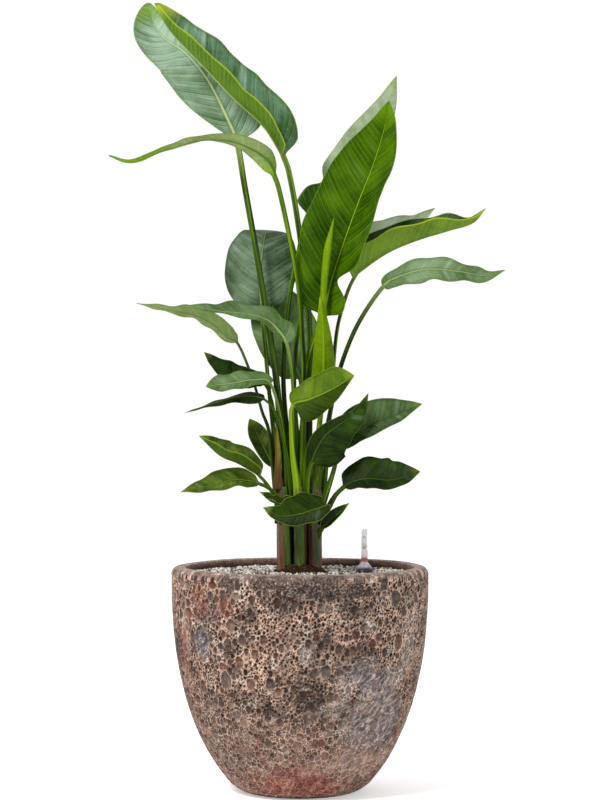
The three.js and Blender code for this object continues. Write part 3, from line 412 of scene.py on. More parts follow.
leaf("leaf_right_low_small", [[24, 392, -12], [29, 399, -17]], [[34, 408, -22], [46, 419, -27], [60, 432,
     -32], [77, 448, -36]], [-0.3, -0.9, 0.3], [12, 8], 20, 10, wide=0.4, taper=1.9, lobe=0, wave=[0.6, 2,
     0], girth=[2.6, 2.2], look="low", stem=-0.4)
leaf("leaf_right_dark", [[15.5, 416, -6.5], [12, 448, -14], [12, 482, -23]], [[17, 508, -30], [24, 528,
     -34], [38, 552, -38], [62, 571, -42], [86, 588, -46], [107, 620, -48]], [[0.1, -1, 0.1], [0.1, -1,
     0.2], [0.1, -1, 0.1]], [18, 45], [16, 8], [10, -14], wide=0.3, taper=1.15, lobe=0.2, wave=[1.5, 3, 0],
     girth=[2.8, 2.4], look="deep", stem=-0.4)
leaf("leaf_right_mid", [[26, 416, -12], [39, 457, -16], [53, 500, -19]], [[62, 534, -21], [96, 563, -24],
     [146, 584, -24], [191, 603, -22]], [0, -0.85, 0.5], [38, 19], [22, 10], [10, -10], wide=0.36,
     taper=2.1, lobe=0.2, wave=[1.5, 3, 0.2], girth=[3.2, 2.4], look="sheen", stem=-0.7)
leaf("leaf_right_low", [[29.5, 416, -4.5], [47, 446, -8], [55, 460, -11]], [[67, 472, -16], [80, 480, -20],
     [106, 486, -26], [146, 484, -32], [188, 497, -36]], [0, -0.8, 0.6], [37, 23], [10, 12], [4, 8],
     wide=0.46, taper=2.6, lobe=0, wave=[1.5, 4, 0], girth=[3, 2.2], look="deep", stem=-0.8)
leaf("leaf_young_boat", [[22, 416, 0], [25, 490, -11], [29, 555, -20]], [[33, 594, -25], [36, 640, -28],
     [37, 690, -30], [35, 735, -31], [31, 772, -29]], [0, 1, 0], 25, 12, 60, wide=0.3, taper=1.7, lobe=0,
     wave=[0, 1, 0], girth=[4.2, 4], look="young", swell=0.42, stem=0.3)

PINCH_SPAN = 0.05
BLADE_BLEND = 0.07
HALF_COLUMNS = 17                 # points across each half of a blade
BLADE_THICKNESS = 0.9
EDGE_THICKNESS = 0.6
VEIN_LEAN = 0.62                  # how far a side vein runs towards the tip for each mm outwards
VEIN_BOW = 0.0035                 # and how much more, the further out it is
VEIN_STRAY = 2.5
PLEAT = 9.0                       # mm from one side vein to the next
RUFFLE = 0.9                      # height of the edge's small waves
SWAY = 1.1                        # height of its middling ones, against that of the leaf's own wave
LOBE_END = 0.3                    # where along the rib the base's lobes end
STALK_STEP = 9                    # mm from ring to ring on a stalk and on a blade
BLADE_STEP = 1.9
STALK_GIRTH = 26                  # mm round a stalk, for the streaks on it
FLARE = 0.85                      # how much thicker than above a stalk is where it clasps the clump
FLARE_FOOT = 425                  # the levels between which it narrows
FLARE_TOP = 600


def sight(points):
    """Points read in the plane of the pot's axis, moved to their depth along the camera's lines of sight."""
    across, up, depth = np.array(points, float).T
    scale = 1 + depth / EYE_DISTANCE
    return np.stack([across * scale, depth, EYE_HEIGHT + (up - EYE_HEIGHT) * scale], -1)


class Curve:
    """A Catmull-Rom curve through points."""

    def __init__(self, points):
        self.points = sight(points)
        first = 2 * self.points[0] - self.points[1]
        last = 2 * self.points[-1] - self.points[-2]
        padded = np.vstack([first, self.points, last])
        self.slopes = (padded[2:] - padded[:-2]) / 2

    def at(self, s):
        spans = len(self.points) - 1
        place = np.clip(np.asarray(s, float), 0, 1) * spans
        i = np.minimum(place.astype(int), spans - 1)
        w = (place - i)[:, None]
        p, q = self.points[i], self.points[i + 1]
        m, n = self.slopes[i], self.slopes[i + 1]
        c = 3 * (q - p) - 2 * m - n
        d = 2 * (p - q) + m + n
        return p + w * (m + w * (c + w * d)), unit(m + w * (2 * c + 3 * w * d))

    def walk(self, low, high, fractions):
        """Parameters at fractions of the length between low and high, and that length."""
        s = np.linspace(low, high, 600)
        steps = np.linalg.norm(np.diff(self.at(s)[0], axis=0), axis=1)
        lengths = np.concatenate([[0], np.cumsum(steps)])
        return np.interp(np.asarray(fractions) * lengths[-1], lengths, s), lengths[-1]


def of_half(leaf_, key, right):
    """A leaf's value for its left (0) or right (1) half, or the one value that holds for both."""
    value = leaf_[key]
    return value[right] if isinstance(value, list) else value


def outline(leaf_, right, t):
    """Share of the half's width at t, from 0 at the base over 1 at the widest place to 0 at the tip."""
    wide, taper, swell = (of_half(leaf_, key, right) for key in ("wide", "taper", "swell"))
    rise = np.clip(1 - np.clip(1 - t / wide, 0, 1) ** 2.4, 0, 1) ** swell
    fall = (1 - np.clip((t - wide) / (1 - wide), 0, 1) ** taper) ** leaf_["blunt"]
    if right and leaf_["pinch"]:
        place, depth = leaf_["pinch"]
        rise = rise * (1 - depth * np.exp(-(((t - place) / PINCH_SPAN) ** 2)))
    return np.where(t < wide, rise, fall)


def frames(curve, s, leaf_, t):
    place, along = curve.at(s)
    base, middle, tip = unit(np.broadcast_to(leaf_["face"], (3, 3)))
    t = np.asarray(t)[:, None]
    early = base + (middle - base) * smooth_step(2 * t)
    late = middle + (tip - middle) * smooth_step(2 * t - 1)
    side = unit(np.cross(along, np.where(t < 0.5, early, late)))
    return place, along, side, unit(np.cross(side, along))


def blade_rings(leaf_, curve, s, t, length, seed):
    """Rings of the blade: 2 * HALF_COLUMNS - 1 points on the upper face and as many back underneath."""
    place, along, side, out = [v[:, None, :] for v in frames(curve, s, leaf_, t)]
    t = t[:, None]
    steps = (np.arange(HALF_COLUMNS) / (HALF_COLUMNS - 1)) ** 1.35
    u = np.concatenate([-steps[::-1], steps[1:]])[None, :]
    reach = np.abs(u)
    right = u > 0
    half, fold, curl = (np.where(right, of_half(leaf_, key, 1), of_half(leaf_, key, 0))
                        for key in ("half", "fold", "curl"))
    width = half * np.where(right, outline(leaf_, 1, t), outline(leaf_, 0, t))
    start, bend = np.radians(fold), np.radians(curl)
    bend = np.where(np.abs(bend) < 1e-6, 1e-6, bend)
    end = start + bend * reach
    across = width * (np.sin(end) - np.sin(start)) / bend * np.where(right, 1, -1)
    rise = width * (np.cos(start) - np.cos(end)) / bend
    height, count, phase = leaf_["wave"]
    calm = np.minimum(1, np.minimum(5 * t, 5 * (1 - t)))
    turn = 2 * math.pi * (count * t + phase + 0.37 * right)
    wave = height * calm * reach**2 * np.sin(turn)
    ruffle = RUFFLE * reach**4 * wander(t * length / 9 + 40 * right, seed)
    sway = SWAY * min(height, 2.8) * reach**1.5 * wander(t * length / 26 + 9 * right, seed + 5)
    ruffle = (ruffle + sway) * calm * smooth_step(width / 22)
    back = leaf_["lobe"] * half * np.maximum(0, 1 - t / LOBE_END) ** 2 * reach**2
    tilt = np.where(right, -end, end)
    flat = width * reach                                   # mm out from the rib on the blade itself
    vein = t * length - VEIN_LEAN * flat - VEIN_BOW * flat**2
    warped = vein + VEIN_STRAY * wander(vein / 22 + 9 * right, seed + 1)
    pleat = np.abs(np.sin(math.pi * warped / PLEAT)) - 0.5
    quiet = smooth_step((flat - 2) / 8) * smooth_step((width - flat) / 7) * calm
    rib = leaf_["girth"][1] * (1 - t) ** 0.8 * 0.5 + 0.35
    ridge = 0.5 * rib * np.exp(-((flat / np.maximum(rib, 0.2)) ** 2))
    normal = out * np.cos(tilt)[..., None] + side * np.sin(tilt)[..., None]
    lift = (0.1 + 0.36 * LOOKS[leaf_["look"]]["veins"]) * pleat * quiet
    centre = place + side * across[..., None] + out * (rise + wave + ruffle)[..., None]
    centre = centre - along * back[..., None] + normal * lift[..., None]
    thick = (BLADE_THICKNESS + (EDGE_THICKNESS - BLADE_THICKNESS) * reach) / 2
    keel = leaf_["girth"][1] * (1 - t) ** 1.3
    keel = keel * np.sqrt(np.clip(1 - (flat / np.maximum(keel, 0.3)) ** 2, 0, 1))
    top = centre + normal * (thick + ridge)[..., None]
    under = centre - normal * (thick + keel)[..., None]
    rings = np.concatenate([top, under[:, ::-1]], 1)

    def both(values):
        values = np.broadcast_to(values, (len(t), u.shape[1]))
        return np.concatenate([values, values[:, ::-1]], 1)

    return rings, dict(leaf_across=both(flat), leaf_margin=both(width - flat), leaf_vein=both(warped),
                       leaf_rib=both(rib), leaf_side=both(right.astype(float)))


def stalk_radius(leaf_, share, level):
    """Radius of a stalk at a share of its curve's stalk and at a level."""
    foot, top = leaf_["girth"]
    flare = 1 + FLARE * (1 - smooth_step((level - FLARE_FOOT) / (FLARE_TOP - FLARE_FOOT)))
    return (foot + (top - foot) * smooth_step(share * 1.4)) * flare


def stalk_rings(curve, s, leaf_, t, radius):
    """Rings round the stalk, flattened and grooved above, with as many points as the blade's rings."""
    place, along, side, out = [v[:, None, :] for v in frames(curve, s, leaf_, t)]
    upper = 2 * HALF_COLUMNS - 1
    i = np.arange(2 * upper)
    angle = math.pi - math.pi * (i + 0.5) / upper
    groove = 1 - 0.55 * np.exp(-((np.cos(angle) / 0.42) ** 2))
    height = np.sin(angle) * np.where(i < upper, 0.6 * groove, 1)
    radius = radius[:, None, None]
    return place + side * radius * np.cos(angle)[None, :, None] + out * radius * height[None, :, None]


def leaf_curve(leaf_):
    """The curve of a leaf's stalk and rib, and the place on it, 0 to 1, where the blade starts."""
    points = leaf_["stalk"] + leaf_["rib"]
    return Curve(points), len(leaf_["stalk"]) / (len(points) - 1)


def build_leaf(leaf_, seed, materials):
    curve, base = leaf_curve(leaf_)
    columns = 2 * (2 * HALF_COLUMNS - 1)
    _, stalk_length = curve.walk(0, base, [0, 1])
    _, length = curve.walk(base, 1, [0, 1])
    count = max(8, int(stalk_length / STALK_STEP))
    shares = np.arange(count) / count
    s, _ = curve.walk(0, base, shares)
    radius = stalk_radius(leaf_, s / base, curve.at(s)[0][:, 2])
    stalk = stalk_rings(curve, s, leaf_, np.zeros(count), radius)
    ramp = np.linspace(0, 1, max(40, int(length / BLADE_STEP)))
    t = 0.992 * (0.75 * ramp + 0.25 * ramp**2) ** 1.12
    s, _ = curve.walk(base, 1, t)
    blade, values = blade_rings(leaf_, curve, s, t, length, seed)
    blend = smooth_step(t / BLADE_BLEND)[:, None, None]
    neck_radius = stalk_radius(leaf_, np.ones(len(t)), curve.at(s)[0][:, 2])
    neck = stalk_rings(curve, s, leaf_, t, neck_radius)
    rings = np.concatenate([stalk, neck + (blade - neck) * blend])
    tip = curve.at([1.0])[0]
    foot = curve.at([0.0])[0]
    vertices = np.concatenate([rings.reshape(-1, 3), foot, tip]) * MM
    upper = (np.arange(columns) < columns // 2).astype(float)

    def spread(stalk_value, blade_values):
        """One value for each vertex, from a value on the stalk and the blade's grid of values."""
        on_stalk = np.broadcast_to(stalk_value, (count, columns))
        grid = np.concatenate([on_stalk, blade_values])
        return np.concatenate([grid.ravel(), grid[0, :1], grid[-1, :1]])

    t_grid = np.repeat(t[:, None], columns, 1)
    attributes = {key: spread(0.0 if key != "leaf_margin" else 20.0, grid) for key, grid in values.items()}
    attributes["leaf_stalk"] = spread(1.0, np.repeat(1 - smooth_step(t / 0.05)[:, None], columns, 1))
    attributes["leaf_upper"] = spread(upper[None, :], np.repeat(upper[None, :], len(t), 0))
    attributes["leaf_along"] = spread((shares - 1)[:, None] * stalk_length, t_grid * length)
    attributes["leaf_tip"] = spread(0.0, t_grid)
    round_it = STALK_GIRTH * np.arange(columns)[None, :] / columns
    attributes["leaf_round"] = spread(round_it, np.repeat(round_it, len(t), 0))
    attributes["leaf_stem"] = np.full(len(vertices), leaf_["stem"])
    name = leaf_["name"]
    piece(name + ".fine", materials[leaf_["look"]], [name], leaf_slot(name), vertices,
          tube_faces(count + len(t), columns), **attributes)


def leaf_slot(name):
    """The record's slot for a node."""
    return next(s["material_slot"] for s in frame["record"]["subparts"] if s["node"] == name)


# ---------------------------------------------------------------- leaf materials

LOOKS = {}


def look(name, light, dark, under, rib, edge, under_rib, gloss, through, veins, blush=None, left=None):
    """A leaf's colours: the upper face's light and dark green, the light green partly its own colour and
    partly a painted sheen, the underside, the midrib above, the thin margin and the midrib underneath. gloss
    and veins go from 0 to 1; through is the share of light that comes through. blush: (start, end, colour)
    tints the underside outside that stretch of the blade's length; left: light and dark green of the left
    half where it differs, as painted light and shade for the way that half faces the light."""
    LOOKS[name] = dict(light=light, dark=dark, under=under, rib=rib, edge=edge, under_rib=under_rib,
                       gloss=gloss, through=through, veins=veins, blush=blush, left=left)


look("silver", (148, 174, 152), (60, 96, 56), (140, 160, 100), (180, 192, 120), (110, 148, 24),
     (150, 168, 100), 0.9, 0.05, 0.7)
look("folded", (104, 140, 110), (24, 66, 8), (86, 122, 6), (140, 164, 50), (156, 176, 36),
     (150, 168, 100), 0.9, 0.06, 0.3)
look("long", (104, 142, 30), (60, 98, 8), (150, 168, 108), (110, 140, 30), (100, 140, 10),
     (66, 98, 18), 0.2, 0.10, 0.1, blush=(0.1, 0.55, (118, 156, 16)))
look("round", (118, 142, 112), (26, 52, 24), (110, 134, 80), (126, 146, 76), (70, 108, 30),
     (140, 158, 80), 0.8, 0.03, 0.35)
look("tall", (78, 116, 0), (24, 56, 0), (100, 130, 30), (138, 170, 12), (104, 142, 8),
     (140, 160, 50), 0.08, 0.10, 0.5)
look("reverse", (58, 104, 0), (34, 70, 0), (164, 180, 154), (140, 160, 80), (120, 150, 50),
     (150, 172, 140), 0.3, 0.06, 0.2, blush=(0.28, 1.1, (50, 92, 0)))
look("right", (158, 174, 148), (98, 118, 82), (180, 194, 172), (140, 160, 90), (140, 160, 80),
     (130, 150, 100), 0.5, 0.06, 0.2)
look("yellow", (100, 128, 88), (30, 54, 16), (106, 136, 36), (130, 150, 40), (160, 180, 30),
     (150, 170, 60), 0.5, 0.08, 0.4)
look("cool", (124, 148, 108), (60, 88, 36), (120, 140, 80), (146, 164, 100), (90, 124, 26),
     (130, 150, 80), 0.6, 0.05, 0.25)
look("young", (134, 164, 0), (100, 132, 0), (110, 140, 0), (136, 162, 16), (134, 164, 16),
     (120, 150, 4), 0.2, 0.10, 0.1)
look("olive", (78, 102, 14), (36, 58, 2), (62, 88, 4), (120, 144, 30), (116, 144, 20),
     (100, 130, 14), 0.35, 0.08, 0.15, left=((120, 144, 34), (66, 94, 6)))
look("slim", (76, 104, 36), (38, 62, 8), (128, 148, 88), (124, 146, 74), (100, 130, 30),
     (70, 94, 32), 0.4, 0.05, 0.15)
look("rear", (126, 154, 102), (58, 82, 28), (100, 130, 60), (136, 160, 90), (90, 120, 40),
     (120, 140, 70), 0.5, 0.04, 0.35)
look("mid", (112, 136, 48), (28, 48, 0), (74, 100, 12), (96, 122, 26), (124, 150, 44),
     (90, 116, 20), 0.35, 0.06, 0.2)
look("low", (58, 84, 6), (14, 28, 0), (58, 84, 6), (80, 106, 16), (130, 152, 54),
     (80, 106, 10), 0.4, 0.04, 0.2, left=((58, 72, 38), (24, 34, 10)))
look("deep", (46, 74, 8), (10, 24, 0), (60, 84, 20), (64, 86, 22), (76, 100, 14),
     (76, 98, 20), 0.22, 0.02, 0.25)
look("sheen", (86, 110, 64), (24, 42, 6), (80, 108, 30), (80, 104, 40), (96, 124, 30),
     (90, 114, 30), 0.4, 0.03, 0.35)
STALK_DARK, STALK_GREEN, STALK_LIGHT = (16, 32, 0), (62, 92, 2), (130, 162, 22)


def leaf_material(name, colors):
    n = Nodes("leaf_" + name)
    across, margin, vein, rib, upper, stalk, along, tip = (
        n.attribute("leaf_" + key)
        for key in ("across", "margin", "vein", "rib", "upper", "stalk", "along", "tip"))
    veins, gloss, dark, light, edge = (colors[key] for key in ("veins", "gloss", "dark", "light", "edge"))
    place = n.place()
    strip = vein / PLEAT
    phase = n.math("FRACT", strip)
    half = n.math("ROUND", n.attribute("leaf_side"))
    side = half * 50
    pick = n.random(n.math("FLOOR", strip) + side)
    broad, mottle = n.noise(place, 60, 3, 0.5), n.noise(place, 6, 4, 0.65)
    fibre = n.noise(n.combine(vein, across * 0.03, side), 1.6, 2, 0.6)
    drift = n.noise(n.combine(vein, across * 0.12, side), 9, 2, 0.5)
    clear = n.step(across, 1.5, 9)
    # Painted shade: each strip is darkened just past the crease at its side vein.
    crease_shade = n.step(phase, 0.05, 0.34, 1.0, 0.0) * clear
    line = n.step(abs(phase - 0.93), 0.02, 0.08, 1.0, 0.0) * clear
    on_rib = n.step(across / rib, 0.5, 1.1, 0.85, 0.0)

    # The upper face: strips between side veins with painted shade just past each crease, a painted bluish
    # reflection, a darker margin, and the midrib with painted shade beside it.
    tone = broad * 0.8 + fibre * (0.14 + 0.1 * veins) + drift * 0.34 + pick * (0.05 + 0.15 * veins)
    share = n.step(tone + mottle * 0.2 - crease_shade * (0.17 * veins), 0.56, 1.1)
    # The light green, spread in random patches, is partly a painted sheen.
    above = n.mix(share, dark, light)
    # Painted light and shade: "olive" paints its left half lighter, for a half that faces up into the light,
    # and "low" paints it darker, for a half that hangs down in shade.
    if colors["left"]:
        left_light, left_dark = colors["left"]
        above = n.mix(half, n.mix(share, left_dark, left_light), above)
    # Painted reflection: pale bluish glints in strips along the veins, stronger on glossier looks.
    painted_glint = n.noise(n.combine(vein, across * 0.16, side), 12, 3, 0.6)
    painted_glint = n.step(painted_glint, 0.5, 0.68) * n.step(broad, 0.4, 0.62, 0.1, 1.0)
    above = n.mix(painted_glint * (0.62 * gloss), above, n.mix(0.62, light, (172, 200, 194)))
    above = n.mix(n.step(margin, 0.5, 8, 0.5, 0.0), above, dark)
    above = n.mix(n.step(tip, 0.84, 0.98, 0.0, 0.75), above, edge)
    above = n.mix(line * (0.12 + 0.42 * veins), above, colors["rib"])
    # Painted shade in the grooves on both sides of the midrib.
    above = n.mix(n.step(across / rib, 1.1, 3.2, 0.5, 0.0), above, dark)
    above = n.mix(on_rib, above, colors["rib"])

    # The underside.
    under = colors["under"]
    if colors["blush"]:
        start, end, tinge = colors["blush"]
        before, past = n.step(tip, start - 0.1, start + 0.06, 1.0, 0.0), n.step(tip, end, end + 0.2)
        under = n.mix(n.math("MAXIMUM", before, past), under, tinge)
    shaded = n.mix(1.0, under, (150, 164, 120), "MULTIPLY")
    below = n.mix(n.step(broad * 0.7 + mottle * 0.3 + fibre * 0.16 + drift * 0.4, 0.4, 1.05), shaded, under)
    below = n.mix(line * (0.2 + 0.2 * veins), below, colors["under_rib"])
    below = n.mix(on_rib, below, colors["under_rib"])
    below = n.mix(n.step(margin, 1.0, 3.4, 0.45, 0.0), below, edge)
    below = n.mix(n.step(tip, 0.88, 0.99, 0.0, 0.7), below, edge)

    # Both, with the thin edge and a dry tip, and then the stalk.
    color = n.mix(upper, below, above)
    color = n.mix(n.step(margin, 0.5, 1.3, 0.7, 0.0), color, edge)
    color = n.mix(n.step(tip, 0.972, 0.995) * n.step(mottle, 0.4, 0.6, 0.0, 0.8), color, (96, 66, 30))
    around = n.combine(n.attribute("leaf_round"), along * 0.02, vein)
    stem = n.noise(around, 5, 2, 0.5) * 0.75 + n.noise(around, 1.6, 3, 0.6) * 0.3
    stem = stem + n.attribute("leaf_stem") * 0.17
    stem = n.ramp(stem, (0.36, STALK_DARK), (0.52, STALK_GREEN), (0.72, STALK_LIGHT))
    stem = n.mix(n.step(along, -60, 0, 0.0, 0.35), stem, colors["rib"])
    color = n.mix(stalk, color, stem)

    rough = mottle * 0.24 + (0.44 - 0.12 * gloss) + n.step(upper, 0.4, 0.6, 0.12, 0.0)
    pleat = abs(n.math("SINE", strip * math.pi)) * clear * n.step(stalk, 0.0, 0.5, 1.8 * veins, 0.0)
    normal = n.bump(fibre * 0.6 + mottle * 0.8 + pleat, 0.28)
    return n.finish(color, rough, 0.06 + 0.16 * gloss, normal, through=colors["through"],
                    through_color=n.mix(0.5, color, (130, 180, 4)))


# ---------------------------------------------------------------- rolled new leaf

SPEAR = [[35, 640, -21.6], [36, 720, -20], [38, 790, -18], [44, 845, -24], [53, 893, -28]]
SPEAR_RADIUS = [4.6, 5, 5.6, 6.5, 0.6]
SPEAR_LENGTH = 250
SPEAR_GIRTH = 30


def build_spear(material):
    """The roll's free edge winds round it and stands a little proud."""
    rows, columns = 120, 40
    curve = Curve(SPEAR)
    s = np.linspace(0, 0.995, rows)
    place, along = curve.at(s)
    side = unit(np.cross(along, [0, -1, 0]))
    out = unit(np.cross(side, along))
    radius = np.interp(s * 4, range(5), SPEAR_RADIUS)
    radius = np.convolve(np.pad(radius, 6, "edge"), np.ones(13) / 13, "valid")
    turn = np.arange(columns)[None, :] / columns
    angle = 3 * s[:, None] - 2 * math.pi * turn
    lip = radius[:, None] * (0.84 + 0.26 * turn**1.5)
    rings = place[:, None] + side[:, None] * (lip * np.cos(angle))[..., None]
    rings = rings + out[:, None] * (lip * np.sin(angle))[..., None]
    vertices = np.concatenate([rings.reshape(-1, 3), curve.at([0.0])[0], curve.at([1.0])[0]]) * MM
    vein = np.append(s[:, None] * SPEAR_LENGTH + 6 * turn, [0, SPEAR_LENGTH])
    margin = np.append(np.repeat((1 - turn) * SPEAR_GIRTH, rows, 0), [9, 9])
    size = len(vertices)
    piece("leaf_new_rolled.fine", material, ["leaf_new_rolled"], "leaf_young", vertices,
          tube_faces(rows, columns), leaf_across=np.full(size, 20.0), leaf_margin=margin, leaf_vein=vein,
          leaf_rib=np.full(size, 0.5), leaf_upper=np.ones(size))


# ---------------------------------------------------------------- shoots and dry sheaths

# Each shoot: name, middle, half width and depth, and the tone of its sheaths anticlockwise from +X.
SHOOTS = [
    ("shoot_left", -23, 1, 12.9, 21, (0.1, 0.3, 0.7, 0.5, 0.85, 0.8, 0.86, 0.36, 0.02)),
    ("shoot_middle", 0.5, 0, 10.9, 27, (0.3, 0.1, 0.6, 0.2, 0.05, 0.62, 0.5, 0.4, 0.92)),
    ("shoot_right", 22.6, 1, 11.5, 20, (0.75, 0.6, 0.3, 0.9, 0.1, 1.0, 0.82, 0.6, 0.8)),
]
SHOOT_FOOT = 330
SHOOT_TOP = 474
OVERLAP = 0.07                    # share of a sheath's width over which its free edge drops
SHOOT_TWIST = 1500                # mm of height in which the sheaths would wind once round
SHOOT_FIBRES = 46
SHOOT_FLARE = (352, 24)           # below this level, and over so many mm, a shoot grows thicker


def build_shoot(seed, shoot, material):
    """A flattened bundle of leaf sheaths, each with a free edge that overlaps the next."""
    rows, columns = 110, 150
    name, x, y, half_width, half_depth, tones = shoot
    level = np.linspace(SHOOT_FOOT, SHOOT_TOP, rows)[:, None]
    turn = np.linspace(0, 1, columns, endpoint=False)[None, :]
    strip = ((turn + (level - SHOOT_FOOT) / SHOOT_TWIST) * len(tones)) % len(tones)
    edge = strip % 1
    step = np.where(edge < 1 - OVERLAP, edge / (1 - OVERLAP), (1 - edge) / OVERLAP)
    fibres = 0.12 * np.sin(turn * 2 * math.pi * SHOOT_FIBRES) + 0.35 * wander(turn * 30 + 0 * level, seed)
    tips = SHOOT_TOP - 10 - 26 * np.abs(wander(strip * 2.5, seed + 3))
    grow = -1.0 + 1.8 * step + fibres - 2.2 * smooth_step((level - tips) / 12)
    grow = grow + 1.6 * smooth_step((SHOOT_FLARE[0] - level) / SHOOT_FLARE[1])
    angle = 2 * math.pi * turn
    rings = np.stack([x + (half_width + grow) * np.cos(angle), y + (half_depth + grow) * np.sin(angle),
                      level + 0 * angle], -1)
    ends = [[x, y, SHOOT_FOOT], [x, y, SHOOT_TOP + 1]]
    vertices = np.concatenate([rings.reshape(-1, 3), ends]) * MM
    tone = np.array(tones)[strip.astype(int)]
    piece(name + ".fine", material, [name], "shoot", vertices, tube_faces(rows, columns),
          tone=np.append(tone, [0.5, 0.5]), strip_edge=np.append(edge, [0.5, 0.5]))


def shoot_material():
    n = Nodes("shoot")
    strand, streak = n.noise(n.place(z=0.06), 1.1, 4, 0.65), n.noise(n.place(z=0.12), 7, 3)
    color = n.ramp(n.attribute("tone"), (0.0, (10, 24, 2)), (0.2, (30, 52, 6)), (0.4, (84, 122, 10)),
                   (0.6, (74, 96, 54)), (0.8, (122, 86, 56)), (1.0, (66, 42, 28)))
    color = n.mix(n.step(strand, 0.3, 0.7, 0.6, 0.0), color, (24, 22, 8))
    worn = n.step(n.separate(n.place(), "Z"), 346, 400, 1.0, 0.0) * n.step(streak, 0.56, 0.66)
    color = n.mix(worn, color, (150, 86, 44))
    color = n.mix(n.step(n.attribute("strip_edge"), 0.9, 0.97, 0.0, 0.5), color, (120, 104, 70))
    return n.finish(color, n.step(strand, 0.2, 0.8, 0.62, 0.4), 0.4, n.bump(strand, 0.6))


# Each sheath: name, its leaf, bottom, top, the way it faces, degrees it reaches round, and its dark, light,
# lower and fresh green colours.
DRY_SHEATHS = [
    ("dry_sheath_left", "leaf_top_left_rear", 470, 568, -145, 150,
     ((44, 26, 14), (146, 92, 42), (84, 56, 32), (112, 124, 40))),
    ("dry_sheath_right", "leaf_young_boat", 470, 560, -90, 170,
     ((38, 22, 20), (92, 58, 48), (70, 94, 10), (104, 138, 16))),
]
SHEATH_GAP = 0.7
SHEATH_THICKNESS = 0.8


def build_sheath(name, leaf_name, bottom, top, middle, reach, colors):
    """A thin dry shell round a stalk, ragged towards its top."""
    rows, spans = 60, 16
    leaf_ = next(item for item in LEAVES if item["name"] == leaf_name)
    curve, base = leaf_curve(leaf_)
    s = np.linspace(0, base, 400)
    path = curve.at(s)[0]
    share = np.linspace(0, 1, rows, endpoint=False)
    level = bottom + (top - bottom) * share
    centre = np.stack([np.interp(level, path[:, 2], path[:, k]) for k in range(2)], -1)
    inner = stalk_radius(leaf_, np.interp(level, path[:, 2], s) / base, level) + SHEATH_GAP
    opening = np.radians(reach / 2 * (1 - 0.8 * share**2)) * (1 + 0.12 * wander(share * 14, 5))
    part = np.linspace(-1, 1, spans)
    heading = math.radians(middle) + opening[:, None] * part
    crinkle = 0.35 * np.sin(9 * part)[None, :] * np.sin(11 * share)[:, None]
    across = np.repeat(np.concatenate([part, part[::-1]])[None, :], rows, 0)
    heading = np.concatenate([heading, heading[:, ::-1]], 1)
    radius = inner[:, None] + np.concatenate([SHEATH_THICKNESS + crinkle, crinkle[:, ::-1]], 1)
    grid = np.stack([centre[:, :1] + radius * np.cos(heading), centre[:, 1:] + radius * np.sin(heading),
                     np.broadcast_to(level[:, None], radius.shape)], -1)
    middle_of = (grid[:, spans // 2] + grid[:, -spans // 2]) / 2
    vertices = np.concatenate([grid.reshape(-1, 3), [middle_of[0], middle_of[-1] + [0, 0, 2]]]) * MM
    piece(name + ".fine", sheath_material(name, *colors), [name], "dry_sheath", vertices,
          tube_faces(rows, 2 * spans), sheath_across=np.append(across, [0, 0]))


def sheath_material(name, dark, light, low, fresh):
    n = Nodes(name)
    strand, patch = n.noise(n.place(z=0.05), 1.3, 4, 0.65), n.noise(n.place(z=0.3), 14, 3)
    color = n.ramp(strand, (0.3, dark), (0.75, light))
    green = n.mix(n.step(strand, 0.35, 0.65, 0.6, 0.0), fresh, dark)
    color = n.mix(n.step(patch * 0.8 + n.attribute("sheath_across"), 0.45, 0.75, 0.0, 0.9), color, green)
    low = n.mix(n.step(strand, 0.35, 0.65, 0.55, 0.0), low, dark)
    color = n.mix(n.step(n.separate(n.place(), "Z"), 492, 532, 0.9, 0.0), color, low)
    return n.finish(color, 0.8, 0.1, n.bump(strand, 0.6))


# ---------------------------------------------------------------- pot

POT_RADIUS = 200.5
POT_HEIGHT = 350
POT_BASE_RADIUS = 80
POT_WALL = 24
POT_LIP = 12
POT_FLOOR = 24
POT_COLUMNS = 900
LIP_ROWS = 14
POT_STEP = 1.4                    # mm between points up the outside
CELL_REACH = 3.5                  # how far outside its edge a cell still counts as the nearest
NO_CELL = 6.0                     # distance that stands for no cell near by
INNER_RADIUS = POT_RADIUS - POT_WALL

# The large hollows: turn from the front in degrees, + to the right; height; half width; half height; tint
# from 0 slate over 0.5 brown to 1 red; depth.
POT_HOLLOWS = [
    (-49, 243, 14, 28, 0.02, 2.0), (-35, 309, 7, 18, 0.75, 1.6), (13, 318, 7, 8, 0.3, 1.8),
    (31, 324, 7, 8, 0.3, 1.8), (24, 299, 6, 6, 0.3, 1.6), (29, 271, 8, 6, 0.4, 1.6),
    (46, 311, 11, 13, 0.1, 1.8), (52, 291, 7, 9, 0.95, 1.7), (49, 244, 9, 14, 0.85, 1.9),
    (29, 213, 14, 13, 0.55, 2.1), (5, 142, 12, 18, 0.3, 2.0), (-41, 332, 9, 6, 1.0, 1.2),
    (-58, 286, 11, 9, 1.0, 1.4), (-36, 190, 10, 14, 0.3, 1.6), (-52, 176, 7, 10, 0.4, 1.5),
    (70, 180, 10, 22, 0.3, 1.8), (98, 262, 16, 24, 0.1, 2.0), (126, 212, 12, 20, 0.8, 1.9),
    (150, 292, 9, 12, 0.4, 1.8), (172, 236, 15, 26, 0.05, 2.0), (-162, 300, 8, 12, 0.9, 1.6),
    (-140, 226, 13, 20, 0.5, 2.0), (-112, 276, 10, 18, 0.15, 1.9), (-90, 196, 12, 22, 0.7, 1.9),
    (-124, 150, 12, 14, 0.4, 1.8), (160, 150, 14, 16, 0.6, 1.9), (112, 142, 12, 14, 0.2, 1.8),
]
